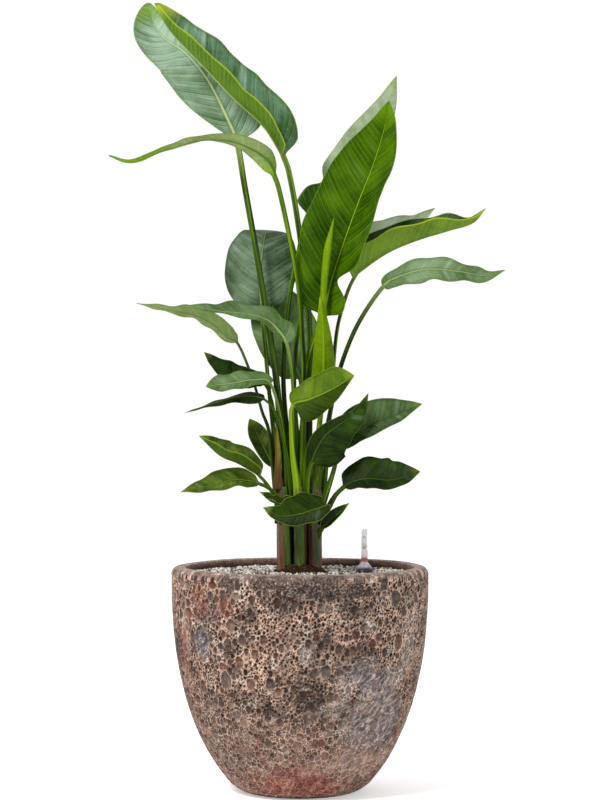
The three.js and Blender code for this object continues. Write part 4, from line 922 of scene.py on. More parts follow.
# Patches of another colour: turn, height, half width, half height. dark: bare blackish body; red: iron red;
# wash: pale ash; slate: blue-grey; bare: hardly any open pores.
POT_PATCHES = {
    "dark": [
        (-4, 338, 104, 15), (-8, 312, 40, 22), (16, 322, 50, 12), (22, 298, 26, 16), (4, 172, 32, 40),
        (-78, 215, 60, 34), (26, 236, 30, 18), (-32, 238, 13, 13), (-30, 206, 16, 12), (8, 246, 24, 18),
        (-12, 146, 24, 12), (100, 250, 60, 40), (178, 200, 60, 60), (-132, 280, 50, 30),
        (140, 120, 50, 30), (-22, 296, 22, 12), (-6, 300, 16, 10)],
    "red": [
        (-12, 26, 84, 34), (2, 28, 80, 38), (-50, 312, 26, 26), (-34, 298, 20, 16), (66, 96, 30, 14),
        (60, 190, 10, 20), (44, 96, 14, 8), (-66, 236, 16, 60), (140, 60, 80, 26), (-150, 290, 50, 30)],
    "wash": [
        (34, 270, 16, 10), (58, 246, 22, 66), (22, 180, 26, 18), (16, 150, 20, 14), (25, 104, 22, 16),
        (50, 190, 26, 20), (14, 300, 16, 8), (2, 232, 14, 16), (205, 240, 70, 50), (120, 160, 40, 60),
        (40, 160, 34, 30)],
    "slate": [(44, 134, 60, 56), (-49, 243, 16, 30), (-150, 120, 70, 40), (34, 196, 44, 30)],
    "bare": [
        (40, 132, 46, 40), (36, 60, 80, 26), (-4, 339, 90, 7), (34, 192, 26, 18), (160, 120, 60, 40),
        (-120, 110, 70, 40), (-62, 262, 12, 50)],
}
PATCH_FADE = 1.5                  # a patch fades out at this many times its half width


def bezier(p, q, r, s, count):
    t = np.linspace(0, 1, count)[:, None]
    p, q, r, s = (np.array(v, float) for v in (p, q, r, s))
    return p * (1 - t) ** 3 + 3 * q * t * (1 - t) ** 2 + 3 * r * t**2 * (1 - t) + s * t**3


def arc(centre, radius, start, end, count):
    angle = np.radians(np.linspace(start, end, count))[:, None]
    return np.array(centre) + radius * np.concatenate([np.cos(angle), np.sin(angle)], 1)


def resample(points, step):
    """Points along a line, step apart, and how far along each lies."""
    lengths = np.concatenate([[0], np.cumsum(np.linalg.norm(np.diff(points, axis=0), axis=1))])
    s = np.linspace(0, lengths[-1], int(lengths[-1] / step) + 1)
    return np.stack([np.interp(s, lengths, points[:, k]) for k in range(2)], -1), s


def pot_outside():
    """The outside from the foot's edge to the lip, points (radius, height)."""
    side = bezier((110, 15), (182.6, 97.5), (POT_RADIUS, 220), (POT_RADIUS, POT_HEIGHT - 20), 60)
    foot = bezier((POT_BASE_RADIUS, 0), (92, 1), (100, 7), (110, 15), 12)
    return np.concatenate([foot[:-1], side, [(POT_RADIUS, POT_HEIGHT - POT_LIP)]])


def pot_inside():
    """From the lip's outer edge over its top and down the inner wall to the floor's middle."""
    lip = arc((POT_RADIUS - POT_LIP, POT_HEIGHT - POT_LIP), POT_LIP, 6, 90, LIP_ROWS)
    inner = arc((INNER_RADIUS + 6, POT_HEIGHT - 6), 6, 90, 180, 8)
    wall = [(0, 340), (0, 330), (0, 300), (10, 200), (36, 110), (78, 48), (112, POT_FLOOR)]
    return np.concatenate([lip, inner, [(INNER_RADIUS - inwards, level) for inwards, level in wall]])


def throw_cells(rng, length, height_of, radius_at, put):
    """Bubbles over the outside, the large ones first; put adds one where it finds room.
    The upper wall is a fine foam with patches of larger bubbles; the foot has larger ones all over."""

    def throw(count, smallest, largest, room, low_share):
        for _ in range(count):
            up = rng.uniform(4, length - 3)
            turn = rng.random()
            size = smallest + (largest - smallest) * rng.random() ** 1.7
            low = smooth_step((185 - height_of(up)) / 110)
            x = turn * 2 * math.pi
            patch = math.sin(up / 21 + 2 * math.sin(3 * x)) * math.sin(5 * x + 2 * math.sin(up / 33))
            if rng.random() < max((0.5 + 0.5 * patch) ** 1.6, low_share * low):
                put(turn * 2 * math.pi * radius_at(up), up, size, size * rng.uniform(0.9, 1.6),
                    min(2.4, 0.4 * size) * rng.uniform(0.4, 1), rng.random(), room * size)

    throw(220, 7, 13, 1.0, 0.8)
    throw(4200, 4.0, 7.5, 0.82, 1.0)
    throw(12000, 2.5, 4.2, 0.82, 0.8)
    up = 3.0
    while up < length - 1:
        girth = 2 * math.pi * radius_at(up)
        for around in np.arange(0, girth - 2, 3.7):
            size = 1.0 + 1.5 * rng.random() ** 1.5
            put(around + rng.uniform(-1.7, 1.7), up + rng.uniform(-1.7, 1.7), size,
                size * rng.uniform(0.9, 1.3), size * rng.uniform(0.5, 0.9), rng.random(), 0.72 * size)
        up += 3.3


def pot_foam(outside, s):
    """The wall's cells. Each point belongs to the cell that it is nearest to for its size. Returned for each
    point: mm from its cell's edge and from the next cell's, below 0 inside, its cell's size, depth and tint,
    and how high in its cell it lies, -1 to 1."""
    rows = len(outside)
    turn = np.arange(POT_COLUMNS) / POT_COLUMNS
    nearest, second = (np.full((rows, POT_COLUMNS), NO_CELL) for _ in range(2))
    size_of, depth_of, tint, rise = (np.zeros((rows, POT_COLUMNS)) for _ in range(4))

    def radius_at(up):
        return np.interp(up, s, outside[:, 0])

    def put(around, up, wide, tall, depth, hue, room):
        """Enter a bubble into the fields if its middle is at least room from the others."""
        radius = radius_at(up)
        centre = around / (2 * math.pi * radius)
        column = int(round(centre * POT_COLUMNS)) % POT_COLUMNS
        if nearest[min(int(up / s[1]), rows - 1), column] < room:
            return
        span = max(wide, tall) + CELL_REACH
        low, high = np.searchsorted(s, [up - span, up + span])
        half = int(span / (2 * math.pi * radius) * POT_COLUMNS) + 1
        columns = (int(round(centre * POT_COLUMNS)) + np.arange(-half, half + 1)) % POT_COLUMNS
        apart = ((turn[columns] - centre + 0.5) % 1 - 0.5)[None, :] * 2 * math.pi * outside[low:high, :1]
        away = s[low:high, None] - up
        heading = np.arctan2(away / tall, apart / wide)
        wobble = 1 + 0.07 * np.sin(3 * heading + 9 * hue) + 0.05 * np.sin(5 * heading + 20 * hue)
        distance = (np.hypot(apart / wide, away / tall) / wobble - 1) * min(wide, tall)
        block = np.ix_(range(low, high), columns)
        best, next_best = nearest[block], second[block]
        take = distance < best
        second[block] = np.where(take, best, np.minimum(next_best, distance))
        nearest[block] = np.where(take, distance, best)
        cell = ((size_of, min(wide, tall)), (depth_of, depth), (tint, hue), (rise, away / tall))
        for field, value in cell:
            field[block] = np.where(take, value, field[block])

    for bearing, height, wide, tall, hue, depth in POT_HOLLOWS:
        up = np.interp(height, outside[:, 1], s)
        put(math.radians(bearing) * radius_at(up), up, wide, tall, 1.5 * depth, hue, -math.inf)
    rng = np.random.default_rng(21)
    throw_cells(rng, s[-1], lambda up: np.interp(up, s, outside[:, 1]), radius_at, put)
    return nearest, second, size_of, depth_of, tint, rise


def pot_patch(patches, degrees, radius, height):
    """How far a point lies inside the nearest of some patches, 1 in its middle and 0 outside."""
    amount = 0
    for turn, level, wide, tall in patches:
        apart = np.radians((degrees - turn + 180) % 360 - 180) * np.maximum(radius, 60)
        distance = np.hypot(apart / wide, (height - level) / tall)
        amount = np.maximum(amount, 1 - np.clip(distance / PATCH_FADE, 0, 1))
    return amount


def build_pot(material):
    """A foam of shallow hollows, with thin ridges where two of them meet."""
    outside, s = resample(pot_outside(), POT_STEP)
    rows = len(outside)
    radius, height, up = outside[:, :1], outside[:, 1:], s[:, None]
    nearest, second, size_of, depth_of, tint, rise = pot_foam(outside, s)
    border = (second - nearest) / 2                                   # mm to the next cell's border
    low = smooth_step((210 - height) / 90)
    inside = smooth_step((0.75 + 1.3 * low - nearest) / 0.8) * smooth_step((border - 0.1) / 0.55)
    bowl = smooth_step(-nearest / (0.35 * size_of + 0.5)) ** 0.7 * smooth_step(border / 0.9)
    lift = 0.45 * smooth_step(1 - np.abs(nearest) / 1.2) - depth_of * bowl
    steep = np.clip(depth_of / np.maximum(size_of, 1) * 2.6, 0.2, 1)
    shade = inside * np.clip(1.25 - size_of / 9, 0.25, 1) * steep
    angle = 2 * math.pi * np.arange(POT_COLUMNS)[None, :] / POT_COLUMNS
    lumps = wander(angle * 5 + 0.02 * up, 3) * wander(up / 30 + np.sin(angle), 4)
    lumps = lumps + 0.5 * wander(up / 9 + 3 * np.sin(2 * angle), 5) * wander(angle * 17 + up / 40, 6)
    lift = (lift + 0.9 * lumps - 0.4) * smooth_step(up / 12)
    degrees = (np.degrees(angle) + 180) % 360 - 180
    patches = {kind: pot_patch(places, degrees, radius, height) for kind, places in POT_PATCHES.items()}
    calm = 1 - 0.5 * smooth_step(patches["bare"] * 1.6 - 0.3)
    lift = lift * calm * (1 - 0.6 * smooth_step((height - 334) / 4))
    inside = inside * (0.5 + 0.5 * calm)

    steps = np.gradient(outside, axis=0)
    outward = unit(np.stack([steps[:, 1], -steps[:, 0]], -1))
    ring = outside[:, None, :] + outward[:, None, :] * lift[..., None]
    upper = pot_inside()
    wobble = 0.5 * wander(angle * 4, 8)[0]
    extra = upper[:, None, :] + wobble[None, :, None] * np.array([0.6, 1.0]) * (upper[:, 1:, None] > 320)
    grid = np.concatenate([ring, extra])
    radius, height = np.minimum(grid[..., 0], POT_RADIUS), np.maximum(grid[..., 1], 0)
    heading = angle - math.pi / 2
    points = np.stack([radius * np.cos(heading), radius * np.sin(heading), height], -1)
    vertices = np.concatenate([points.reshape(-1, 3), [[0, 0, 0], [0, 0, POT_FLOOR]]]) * MM
    total = rows + len(upper)

    def full(values, rest, over=5):
        """Values for all points; the topmost ones go on over some rows of the lip."""
        grid_ = np.full((total, POT_COLUMNS), float(rest))
        grid_[:rows] = values
        grid_[rows:rows + over] = grid_[rows - 1]
        return np.append(grid_, [rest, rest])

    attributes = {"crater": full(inside, 0), "crater_tint": full(tint, 0.5), "crater_deep": full(shade, 0),
                  "crater_size": full(size_of, 0), "crater_rise": full(rise, 0),
                  "pot_inner": full(0, 1, LIP_ROWS + 4)}
    attributes.update({"pot_" + kind: full(amount, 0, LIP_ROWS) for kind, amount in patches.items()})
    piece("pot.fine", material, ["pot"], "pot", vertices, tube_faces(total, POT_COLUMNS), **attributes)


def pot_material():
    n = Nodes("pot")
    place = n.place()
    x, z = n.separate(place, "X"), n.separate(place, "Z")
    coarse, medium = n.noise(place, 38, 4, 0.6), n.noise(place, 9, 4, 0.65)
    fine, grit = n.noise(place, 2.4, 4, 0.75), n.noise(place, 0.8, 2, 0.7)
    blotch, chips = n.noise(place, 14, 4, 0.7), n.noise(place, 3.4, 5, 0.8)
    crater, inner = n.attribute("crater"), n.attribute("pot_inner")
    tint, deep, size, rise = (n.attribute("crater_" + key) for key in ("tint", "deep", "size", "rise"))
    small = n.step(size, 2.0, 6.5, 1.0, 0.0)

    def patch(kind, low, high):
        """Share of one kind of patch, with an uneven outline."""
        spread = n.attribute("pot_" + kind) * 0.95 + medium * 1.5 + coarse * 1.3
        return n.step(spread, low + 0.42, high + 0.42)

    dark, red = patch("dark", 1.15, 1.6), patch("red", 1.2, 1.75) * n.step(z, 30, 100, 0.8, 0.48)
    wash, slate, bare = patch("wash", 1.2, 1.6), patch("slate", 1.15, 1.7), patch("bare", 1.2, 1.6)

    # The ridges between hollows, with a painted highlight round the large ones.
    ridge = n.ramp(fine, (0.3, (138, 103, 86)), (0.5, (207, 169, 146)), (0.7, (246, 225, 205)))
    ridge = n.mix(n.step(coarse, 0.42, 0.62, 0.0, 0.7), ridge, (130, 104, 92))
    ridge = n.mix(n.step(n.noise(place, 24, 3), 0.55, 0.7, 0.0, 0.8), ridge, (232, 214, 200))
    # Painted highlight: the ridge goes pale round large hollows.
    ridge = n.mix(n.step(size, 5, 9, 0.0, 0.55), ridge, (236, 212, 196))
    ridge = n.mix(dark * n.step(chips, 0.45, 0.6, 0.84, 0.3), ridge, (64, 53, 51))
    ridge = n.mix(red, ridge, (186, 112, 96))
    ridge = n.mix(slate * 0.6, ridge, (150, 138, 134))
    ridge = n.mix(wash * n.step(fine, 0.3, 0.6, 0.2, 0.55), ridge, (226, 208, 194))

    # The hollows: a painted shadow under their upper edge, a painted highlight on their lower rim, and
    # painted shade, near black, where they are small and deep.
    floor = n.ramp(tint, (0.0, (116, 108, 106)), (0.2, (92, 77, 71)), (0.45, (150, 124, 110)),
                   (0.7, (120, 92, 80)), (0.85, (142, 102, 87)), (1.0, (134, 80, 68)))
    floor = n.mix(n.step(fine, 0.3, 0.7, 0.3, 0.0), floor, (52, 42, 38))
    floor = n.mix(n.step(medium, 0.45, 0.68, 0.0, 0.4), floor, (140, 120, 108))
    # Painted shadow: each hollow darker towards its upper edge, as if lit from above.
    floor = n.mix(n.step(rise, 0.0, 0.75, 0.0, 0.62), floor, n.mix(1.0, floor, (92, 82, 78), "MULTIPLY"))
    # Painted highlight: each hollow paler towards its lower rim.
    floor = n.mix(n.step(rise, -0.95, -0.45, 0.3, 0.0), floor, (206, 176, 158))
    floor = n.mix(n.step(z, 70, 200, 0.26, 0.0), floor, (176, 144, 128))
    pick = n.math("FRACT", tint * 7.3)
    # Painted shade: small, deep hollows go near black.
    hollow = n.step(deep, 0.15, 0.6) * (small * 0.6 + 0.4) * n.step(pick, 0.1, 0.4, 0.55, 1.0)
    hollow = hollow * n.step(coarse * 60 + z, 110, 240, 0.62, 1.0)
    floor = n.mix(hollow, floor, (24, 17, 15))
    floor = n.mix(dark * 0.6, floor, (40, 33, 32))
    floor = n.mix(red, floor, (140, 80, 68))
    floor = n.mix(slate * 0.7, floor, (94, 88, 88))
    floor = n.mix(wash * 0.45, floor, (150, 138, 130))
    color = n.mix(crater, ridge, floor)

    # Worn streaks that run up to the right, rust in the slate, smears of ash, gloom and bloom.
    streak = n.noise(n.combine((x + z) * 0.4, z - x), 6, 5, 0.75)
    worn = n.ramp(streak, (0.38, (80, 64, 58)), (0.5, (150, 125, 112)), (0.62, (210, 184, 168)))
    color = n.mix(bare * (small * 0.42 + 0.1), color, worn)
    worn = n.ramp(streak, (0.38, (54, 50, 55)), (0.46, (102, 96, 100)), (0.54, (140, 130, 128)),
                  (0.62, (224, 212, 204)))
    color = n.mix(slate * 0.74, color, worn)
    rust = n.step(n.noise(n.place(z=0.6), 17, 3), 0.58, 0.66, 0.0, 0.5)
    color = n.mix(slate * rust, color, (140, 94, 76))
    smear = n.step(n.noise(place, 5, 4, 0.7), 0.5, 0.62, 0.0, 0.3)
    color = n.mix(wash * smear, color, (212, 198, 188))
    gloom = n.step(n.noise(place, 52, 4, 0.6), 0.42, 0.64, 0.0, 0.35)
    gloom = n.math("MAXIMUM", gloom, n.step(blotch, 0.36, 0.5, 0.75, 0.0))
    color = n.mix(gloom, color, n.mix(1.0, color, (168, 160, 160), "MULTIPLY"))
    bloom = n.step(blotch, 0.52, 0.66) * n.step(z, 120, 230, 0.36, 0.1)
    color = n.mix(bloom, color, (216, 186, 168))

    # The speckled brow under the lip, the lip with a painted highlight along its top, and the wall inside
    # with painted shade further down.
    speckle = n.ramp(chips, (0.38, (20, 16, 17)), (0.49, (62, 51, 50)), (0.57, (116, 99, 92)),
                     (0.65, (216, 194, 180)))
    color = n.mix(dark * n.step(medium * 24 + z, 322, 338, 0.0, 0.8), color, speckle)
    lip = n.step(medium * 14 + z, 347, 353)
    lip_color = n.ramp(blotch * 0.55 + chips * 0.45, (0.4, (58, 48, 46)), (0.48, (104, 89, 83)),
                       (0.54, (150, 130, 121)), (0.62, (226, 209, 198)))
    lip_color = n.mix(dark * 0.3, lip_color, (76, 67, 66))
    color = n.mix(lip * 0.9, color, lip_color)
    # Painted highlight along the top edge of the lip.
    color = n.mix(n.step(z, 347.5, 349.8, 0.0, 0.3), color, (196, 174, 162))
    # Painted shade: the wall inside darkens further down into the pot.
    wall = n.mix(n.step(z, 337, 347), (62, 38, 34), (138, 112, 103))
    wall = n.mix(n.step(medium, 0.46, 0.58, 0.0, 0.6), wall, (84, 48, 42))
    wall = n.mix(n.step(fine, 0.35, 0.65, 0.4, 0.0), wall, (30, 20, 18))
    color = n.mix(inner, color, wall)

    # Fine open pores, painted near black as the shade inside them, and painted shade at the foot, where the
    # pot meets the floor.
    pores = n.step(n.cells(place, 2.6), 0.26, 0.4, 1.0, 0.0) * n.step(n.noise(place, 16, 2), 0.4, 0.52)
    pores = pores * (1.0 - bare * 0.35) * n.step(n.math("MAXIMUM", lip, inner), 0.0, 1.0, 1.0, 0.2)
    color = n.mix(pores * 0.85, color, (30, 22, 20))
    # Painted shade: the lowest 9 mm darken as a contact shadow.
    color = n.mix(n.step(z, 0, 9, 0.7, 0.0), color, (46, 34, 31))
    relief = fine * 0.7 + grit * 0.3 - pores * 1.1
    return n.finish(color, n.step(medium, 0.3, 0.7, 0.9, 0.7), 0.2, n.bump(relief, 1.2))


# ---------------------------------------------------------------- granulate and soil

GRANULATE_TOP = 338
HEAP_HEIGHT = 2.4                 # the granulate lies in low heaps this high and this far apart
HEAP_SPACING = 44
BED_RINGS = (40, 60, 90, 120, 150, INNER_RADIUS - 0.6)
BED_BOTTOM = 318
BED_SINK = 2.4                    # how far the bed lies below the granulate's level
GAUGE_PLACE = np.array([101.0, 15.0])
GAUGE_ROOM = 15.2                 # no grain lies nearer to the gauge's axis
SOIL_RADIUS = 42
SOIL_EDGE = 339
SOIL_BOTTOM = 322
SOIL_RISE = 12                    # how far the soil is heaped up against the shoots


def soft_stone(count, rng):
    """Corner points and triangles of count uneven grains about 1 across, each its own closed form."""
    golden = (1 + 5 ** 0.5) / 2
    corners = np.array([(-1, golden, 0), (1, golden, 0), (-1, -golden, 0), (1, -golden, 0),
                        (0, -1, golden), (0, 1, golden), (0, -1, -golden), (0, 1, -golden),
                        (golden, 0, -1), (golden, 0, 1), (-golden, 0, -1), (-golden, 0, 1)])
    faces = np.array([(0, 11, 5), (0, 5, 1), (0, 1, 7), (0, 7, 10), (0, 10, 11), (1, 5, 9), (5, 11, 4),
                      (11, 10, 2), (10, 7, 6), (7, 1, 8), (3, 9, 4), (3, 4, 2), (3, 2, 6), (3, 6, 8),
                      (3, 8, 9), (4, 9, 5), (2, 4, 11), (6, 2, 10), (8, 6, 7), (9, 8, 1)])
    corners = unit(corners) / 2
    shapes = corners[None] * rng.uniform(0.78, 1.18, (count, 12, 1)) * rng.uniform(0.7, 1.25, (count, 1, 3))
    turn = unit(rng.normal(size=(count, 4)))
    w, x, y, z = turn.T
    spin = np.stack([1 - 2 * (y * y + z * z), 2 * (x * y - w * z), 2 * (x * z + w * y),
                     2 * (x * y + w * z), 1 - 2 * (x * x + z * z), 2 * (y * z - w * x),
                     2 * (x * z - w * y), 2 * (y * z + w * x), 1 - 2 * (x * x + y * y)], -1).reshape(-1, 3, 3)
    return np.einsum("nij,nkj->nki", spin, shapes), faces


def grains_at(centres, size, rng):
    """Points and triangles of uneven grains round the centres."""
    shapes, faces = soft_stone(len(centres), rng)
    points = shapes * size[:, None, None] + centres[:, None, :]
    return points.reshape(-1, 3), (faces[None] + 12 * np.arange(len(centres))[:, None, None]).reshape(-1, 3)


def spread_disc(rng, inner, outer, spacing):
    """Points over a ring, evenly but not in rows."""
    count = int(math.pi * (outer**2 - inner**2) / spacing**2)
    i = np.arange(count)
    radius = np.sqrt(inner**2 + (outer**2 - inner**2) * (i + 0.5) / count)
    points = circle(radius, i * math.pi * (3 - 5 ** 0.5))
    return points + rng.uniform(-0.42, 0.42, points.shape) * spacing


def circle(radius, angle):
    return np.stack([radius * np.cos(angle), radius * np.sin(angle)], -1)


def granulate_level(points):
    """Level of the granulate with its heaps."""
    x, y = points[..., 0], points[..., 1]
    turn = 2 * math.pi / HEAP_SPACING
    heaps = np.sin(turn * x + 1.3 * np.sin(turn * y / 2)) + np.sin(turn * y + 1.1 * np.cos(turn * x / 2))
    radius = np.linalg.norm(points, axis=-1)
    return GRANULATE_TOP + 3 * smooth_step((79 - radius) / 40) + HEAP_HEIGHT / 4 * heaps


def build_granulate(material):
    """A bed with a coat of grains two deep, sunk a little into it."""
    rng = np.random.default_rng(5)
    upper = spread_disc(rng, 43, INNER_RADIUS - 2.6, 4.6)
    lower = spread_disc(rng, 42, INNER_RADIUS - 2, 5.2)
    points = np.concatenate([upper, lower])
    size = rng.uniform(3.2, 5.6, len(points))
    clear = np.linalg.norm(points - GAUGE_PLACE, axis=1) > GAUGE_ROOM
    points, size = points[clear], size[clear]
    is_upper = np.arange(len(points)) < len(upper)
    level = granulate_level(points) + np.where(is_upper, -0.9, -2.2) + rng.uniform(-0.7, 0.8, len(points))
    grains, grain_faces = grains_at(np.concatenate([points, level[:, None]], 1), size, rng)
    # Painted shade: grains of the lower layer get only dark tones, as shade under the upper layer.
    tone = np.where(is_upper, rng.random(len(points)), 0.1 + 0.14 * rng.random(len(points)))
    columns = 72
    angle = np.arange(columns) * 2 * math.pi / columns
    bed = []
    for radius in BED_RINGS:
        at = circle(radius, angle)
        bed.append(np.concatenate([at, granulate_level(at)[:, None] - BED_SINK], 1))
    for radius in (BED_RINGS[-1], BED_RINGS[0]):
        bed.append(np.concatenate([circle(radius, angle), np.full((columns, 1), BED_BOTTOM)], 1))
    bed_faces = np.concatenate([grid_faces(len(bed), columns, True), closing_faces(len(bed), columns)])
    vertices = np.concatenate([grains, *bed]) * MM
    tones = np.append(np.repeat(tone, 12), np.full(len(vertices) - len(grains), -1.0))
    piece("granulate.fine", material, ["granulate"], "granulate", vertices,
          [*grain_faces, *(bed_faces + len(grains))], smooth=False, tone=tones)


def granulate_material():
    n = Nodes("granulate")
    tone, fleck = n.attribute("tone"), n.noise(n.place(), 0.9, 3, 0.7)
    color = n.ramp(tone, (0.0, (52, 40, 34)), (0.16, (112, 90, 76)), (0.3, (240, 228, 210)),
                   (0.5, (212, 222, 226)), (0.68, (250, 243, 234)), (0.82, (178, 174, 172)),
                   (0.9, (96, 78, 68)), (1.0, (60, 48, 42)))
    color = n.mix(n.step(fleck, 0.52, 0.72, 0.0, 0.35), color, (150, 138, 126))
    # Painted shade: the bed, seen in the gaps between the grains, is near black.
    color = n.mix(n.step(tone, -0.5, -0.05, 1.0, 0.0), color, (44, 34, 29))
    return n.finish(color, 0.85, 0.3, n.bump(fleck, 0.4))


def soil_level(radius):
    return SOIL_EDGE + SOIL_RISE * smooth_step((44 - radius) / 18)


def build_soil(material):
    """The top of the root ball: a low mound of crumbs round the shoots."""
    rng = np.random.default_rng(9)
    rows, columns = 44, 120
    radius = np.linspace(SOIL_RADIUS, 0.5, rows)[:, None]
    angle = np.arange(columns) * 2 * math.pi / columns
    level = soil_level(radius) + 0 * angle
    level = level + 0.9 * wander(radius / 2.2 + np.sin(angle * 5) * 3, 1) * wander(angle * 9 + radius / 3, 2)
    top = np.concatenate([circle(radius, angle), level[..., None]], -1)
    skirt = np.concatenate([circle(SOIL_RADIUS, angle), np.full((columns, 1), SOIL_BOTTOM)], 1)
    ends = [[0, 0, SOIL_BOTTOM], [0, 0, level[-1, 0]]]
    mound = np.concatenate([skirt, top.reshape(-1, 3), ends])
    crumbs = spread_disc(rng, 0, SOIL_RADIUS, 1.9)
    crumbs = crumbs[rng.random(len(crumbs)) < 0.95]
    size = 1.2 + 3.0 * rng.random(len(crumbs)) ** 2.4
    height = soil_level(np.linalg.norm(crumbs, axis=1)) + rng.uniform(-0.4, 1.2, len(crumbs))
    grains, grain_faces = grains_at(np.concatenate([crumbs, height[:, None]], 1), size, rng)
    tone = np.append(np.full(len(mound), 0.3), np.repeat(rng.random(len(crumbs)), 12))
    piece("root_ball.fine", material, ["root_ball"], "soil", np.concatenate([mound, grains]) * MM,
          [*tube_faces(rows + 1, columns), *(grain_faces + len(mound))], smooth=False, tone=tone)


def soil_material():
    n = Nodes("soil")
    grit = n.noise(n.place(), 1.4, 4, 0.7)
    color = n.ramp(n.attribute("tone"), (0.0, (38, 25, 17)), (0.6, (70, 48, 32)), (0.9, (104, 74, 48)),
                   (1.0, (140, 104, 70)))
    color = n.mix(n.step(grit, 0.35, 0.65, 0.5, 0.0), color, (26, 17, 12))
    return n.finish(color, 0.95, 0.2, n.bump(grit, 0.6))


# ---------------------------------------------------------------- water gauge

GAUGE_COLLAR_TOP = 344.4
GAUGE_CAP_FOOT = GAUGE_COLLAR_TOP + 0.35
GAUGE_TOP = 407
TUBE_FOOT = 356                   # the tube's straight part starts here
TUBE_FOOT_RADIUS = 5.1
TUBE_TOP_RADIUS = 4.75
GROOVES = 6
GROOVE_PITCH = 0.9
FLOAT_RADIUS = 2.4
MARK_HALF_WIDTH = 2.3
MARK_HALF_HEIGHT = 1.8


def turned(name, node, slot, material, profile, columns=64):
    """A turned piece on the gauge's axis. The profile is a closed line or starts and ends on the axis."""
    points = np.array(profile, float)
    angle = np.arange(columns) * 2 * math.pi / columns
    on_axis = points[0, 0] == 0
    body = points[1:-1] if on_axis else points
    vertices = np.stack([body[:, :1] * np.cos(angle) + GAUGE_PLACE[0],
                         body[:, :1] * np.sin(angle) + GAUGE_PLACE[1],
                         np.broadcast_to(body[:, 1:], (len(body), columns))], -1).reshape(-1, 3)
    if on_axis:
        vertices = np.concatenate([vertices, [[*GAUGE_PLACE, level] for level in points[[0, -1], 1]]])
        faces = tube_faces(len(body), columns)
    else:
        faces = np.concatenate([grid_faces(len(body), columns, True), closing_faces(len(body), columns)])
    made = piece(name, material, [node], slot, vertices * MM, faces)
    made.data.set_sharp_from_angle(angle=math.radians(35))


def gauge_dark_material():
    n = Nodes("gauge_dark")
    scuff = n.noise(n.place(), 3, 4, 0.7)
    color = n.ramp(scuff, (0.3, (36, 24, 30)), (0.7, (60, 44, 52)))
    return n.finish(color, n.step(scuff, 0.3, 0.7, 0.35, 0.5), 0.5, n.bump(scuff, 0.1), coat=0.2)


def gauge_clear_material():
    """Milky plastic, with the dark collar painted in low down and the float's red painted round the float, as
    both would be seen through it.
    """
    n = Nodes("gauge_clear")
    place = n.place()
    haze, z = n.noise(place, 4, 3), n.separate(place, "Z")
    # Painted: the dark collar below as seen through the plastic.
    color = n.mix(n.step(z, 345.5, 349), (146, 136, 158), (246, 244, 248))
    color = n.mix(n.step(haze, 0.35, 0.65, 0.12, 0.0), color, (196, 192, 200))
    # Painted light: the float's red as seen through the tube, painted onto the tube.
    color = n.mix(n.step(z, 355, 356.5) * n.step(z, 361, 362.5, 0.7, 0.0), color, (206, 62, 34))
    return n.finish(color, n.step(haze, 0.3, 0.7, 0.1, 0.14), 0.4, transmission=0.66, ior=1.08)


def tinted_material(name, size, dark, light, roughness, specular):
    """A plain plastic or paint that is a little uneven in colour."""
    n = Nodes(name)
    return n.finish(n.ramp(n.noise(n.place(), size, 2), (0.3, dark), (0.7, light)), roughness, specular)


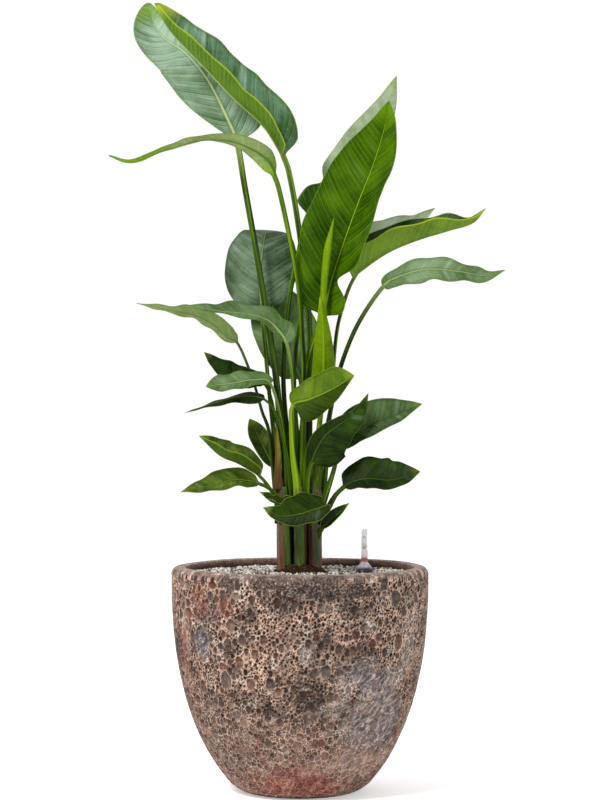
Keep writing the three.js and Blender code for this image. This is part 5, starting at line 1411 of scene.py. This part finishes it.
def build_gauge():
    """Collar, clear cone and tube, the float inside and the marks on the tube."""
    grooves = [(13.6 - 0.35 * (k % 2), 339 + GROOVE_PITCH * k) for k in range(GROOVES)]
    turned("gauge_collar.fine", "gauge_collar", "gauge_dark", gauge_dark_material(),
           [(9.6, 339), *grooves, (13.4, GAUGE_COLLAR_TOP - 0.4), (12.8, GAUGE_COLLAR_TOP),
            (9.6, GAUGE_COLLAR_TOP)])
    cone = bezier((12.8, GAUGE_CAP_FOOT), (12.6, 347.6), (6.2, 351.5), (TUBE_FOOT_RADIUS, TUBE_FOOT), 10)
    hollow = bezier((3.9, TUBE_FOOT), (4.6, 351), (8, 348), (9, GAUGE_CAP_FOOT), 8)
    turned("gauge_cap.fine", "gauge_cap", "gauge_clear", gauge_clear_material(),
           [(0, GAUGE_TOP - 1.4), (3.5, GAUGE_TOP - 1.4), *hollow, *cone, (TUBE_TOP_RADIUS, GAUGE_TOP - 0.8),
            (4.5, GAUGE_TOP - 0.3), (4.1, GAUGE_TOP), (0, GAUGE_TOP)])
    turned("gauge_float.fine", "gauge_float", "gauge_red",
           tinted_material("gauge_red", 2, (214, 36, 6), (236, 66, 12), 0.4, 0.5),
           [(0, 92), (9.4, 92), (9.4, 138), (1.3, 140), (1.3, 352), (2.3, 353), (FLOAT_RADIUS, 354),
            (FLOAT_RADIUS, 361.4), (1.8, 362), (0, 362)], 32)
    paint = tinted_material("gauge_mark", 1, (200, 168, 60), (216, 188, 84), 0.5, 0.4)
    build_mark("gauge_mark_high", 395, 1.0, paint)
    build_mark("gauge_mark_low", 378, 0.0, paint)


def build_mark(name, level, point, material):
    """A thin printed mark that follows the tube's front: a square, or with point 1 a triangle."""
    columns = 9
    radius = np.interp(level, [TUBE_FOOT, GAUGE_TOP - 0.8], [TUBE_FOOT_RADIUS, TUBE_TOP_RADIUS])
    across = np.linspace(-1, 1, columns)
    bottom = np.full(columns, level - MARK_HALF_HEIGHT)
    top = bottom + 2 * MARK_HALF_HEIGHT * (1 - 0.94 * point * np.abs(across))
    turn = MARK_HALF_WIDTH * across / radius
    rings = []
    for skin, height in ((0.05, bottom), (0.2, bottom), (0.2, top), (0.05, top)):
        rings.append(np.stack([GAUGE_PLACE[0] + (radius + skin) * np.sin(turn),
                               GAUGE_PLACE[1] - (radius + skin) * np.cos(turn), height], -1))
    vertices = np.stack(rings, 1).reshape(-1, 3)
    last = 4 * (columns - 1)
    faces = [*grid_faces(columns, 4, True), [3, 2, 1, 0], [last, last + 1, last + 2, last + 3]]
    made = new_mesh(name, vertices * MM, faces, smooth=False)
    made.data.materials.append(material)
    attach(made, "root")


# ---------------------------------------------------------------- the scene

def main():
    bpy.context.scene.view_settings.view_transform = "Standard"
    add_camera()
    add_stage()
    materials = {name: leaf_material(name, colors) for name, colors in LOOKS.items()}
    for i, leaf_ in enumerate(LEAVES):
        build_leaf(leaf_, 100 + 7 * i, materials)
    build_spear(materials["young"])
    sheaths = shoot_material()
    for seed, shoot in enumerate(SHOOTS, 11):
        build_shoot(seed, shoot, sheaths)
    for sheath in DRY_SHEATHS:
        build_sheath(*sheath)
    build_pot(pot_material())
    build_granulate(granulate_material())
    build_soil(soil_material())
    build_gauge()
    pipe = frame["nodes"]["gauge_pipe"]
    pipe.data.materials.clear()
    pipe.data.materials.append(bpy.data.materials["gauge_dark"])


main()
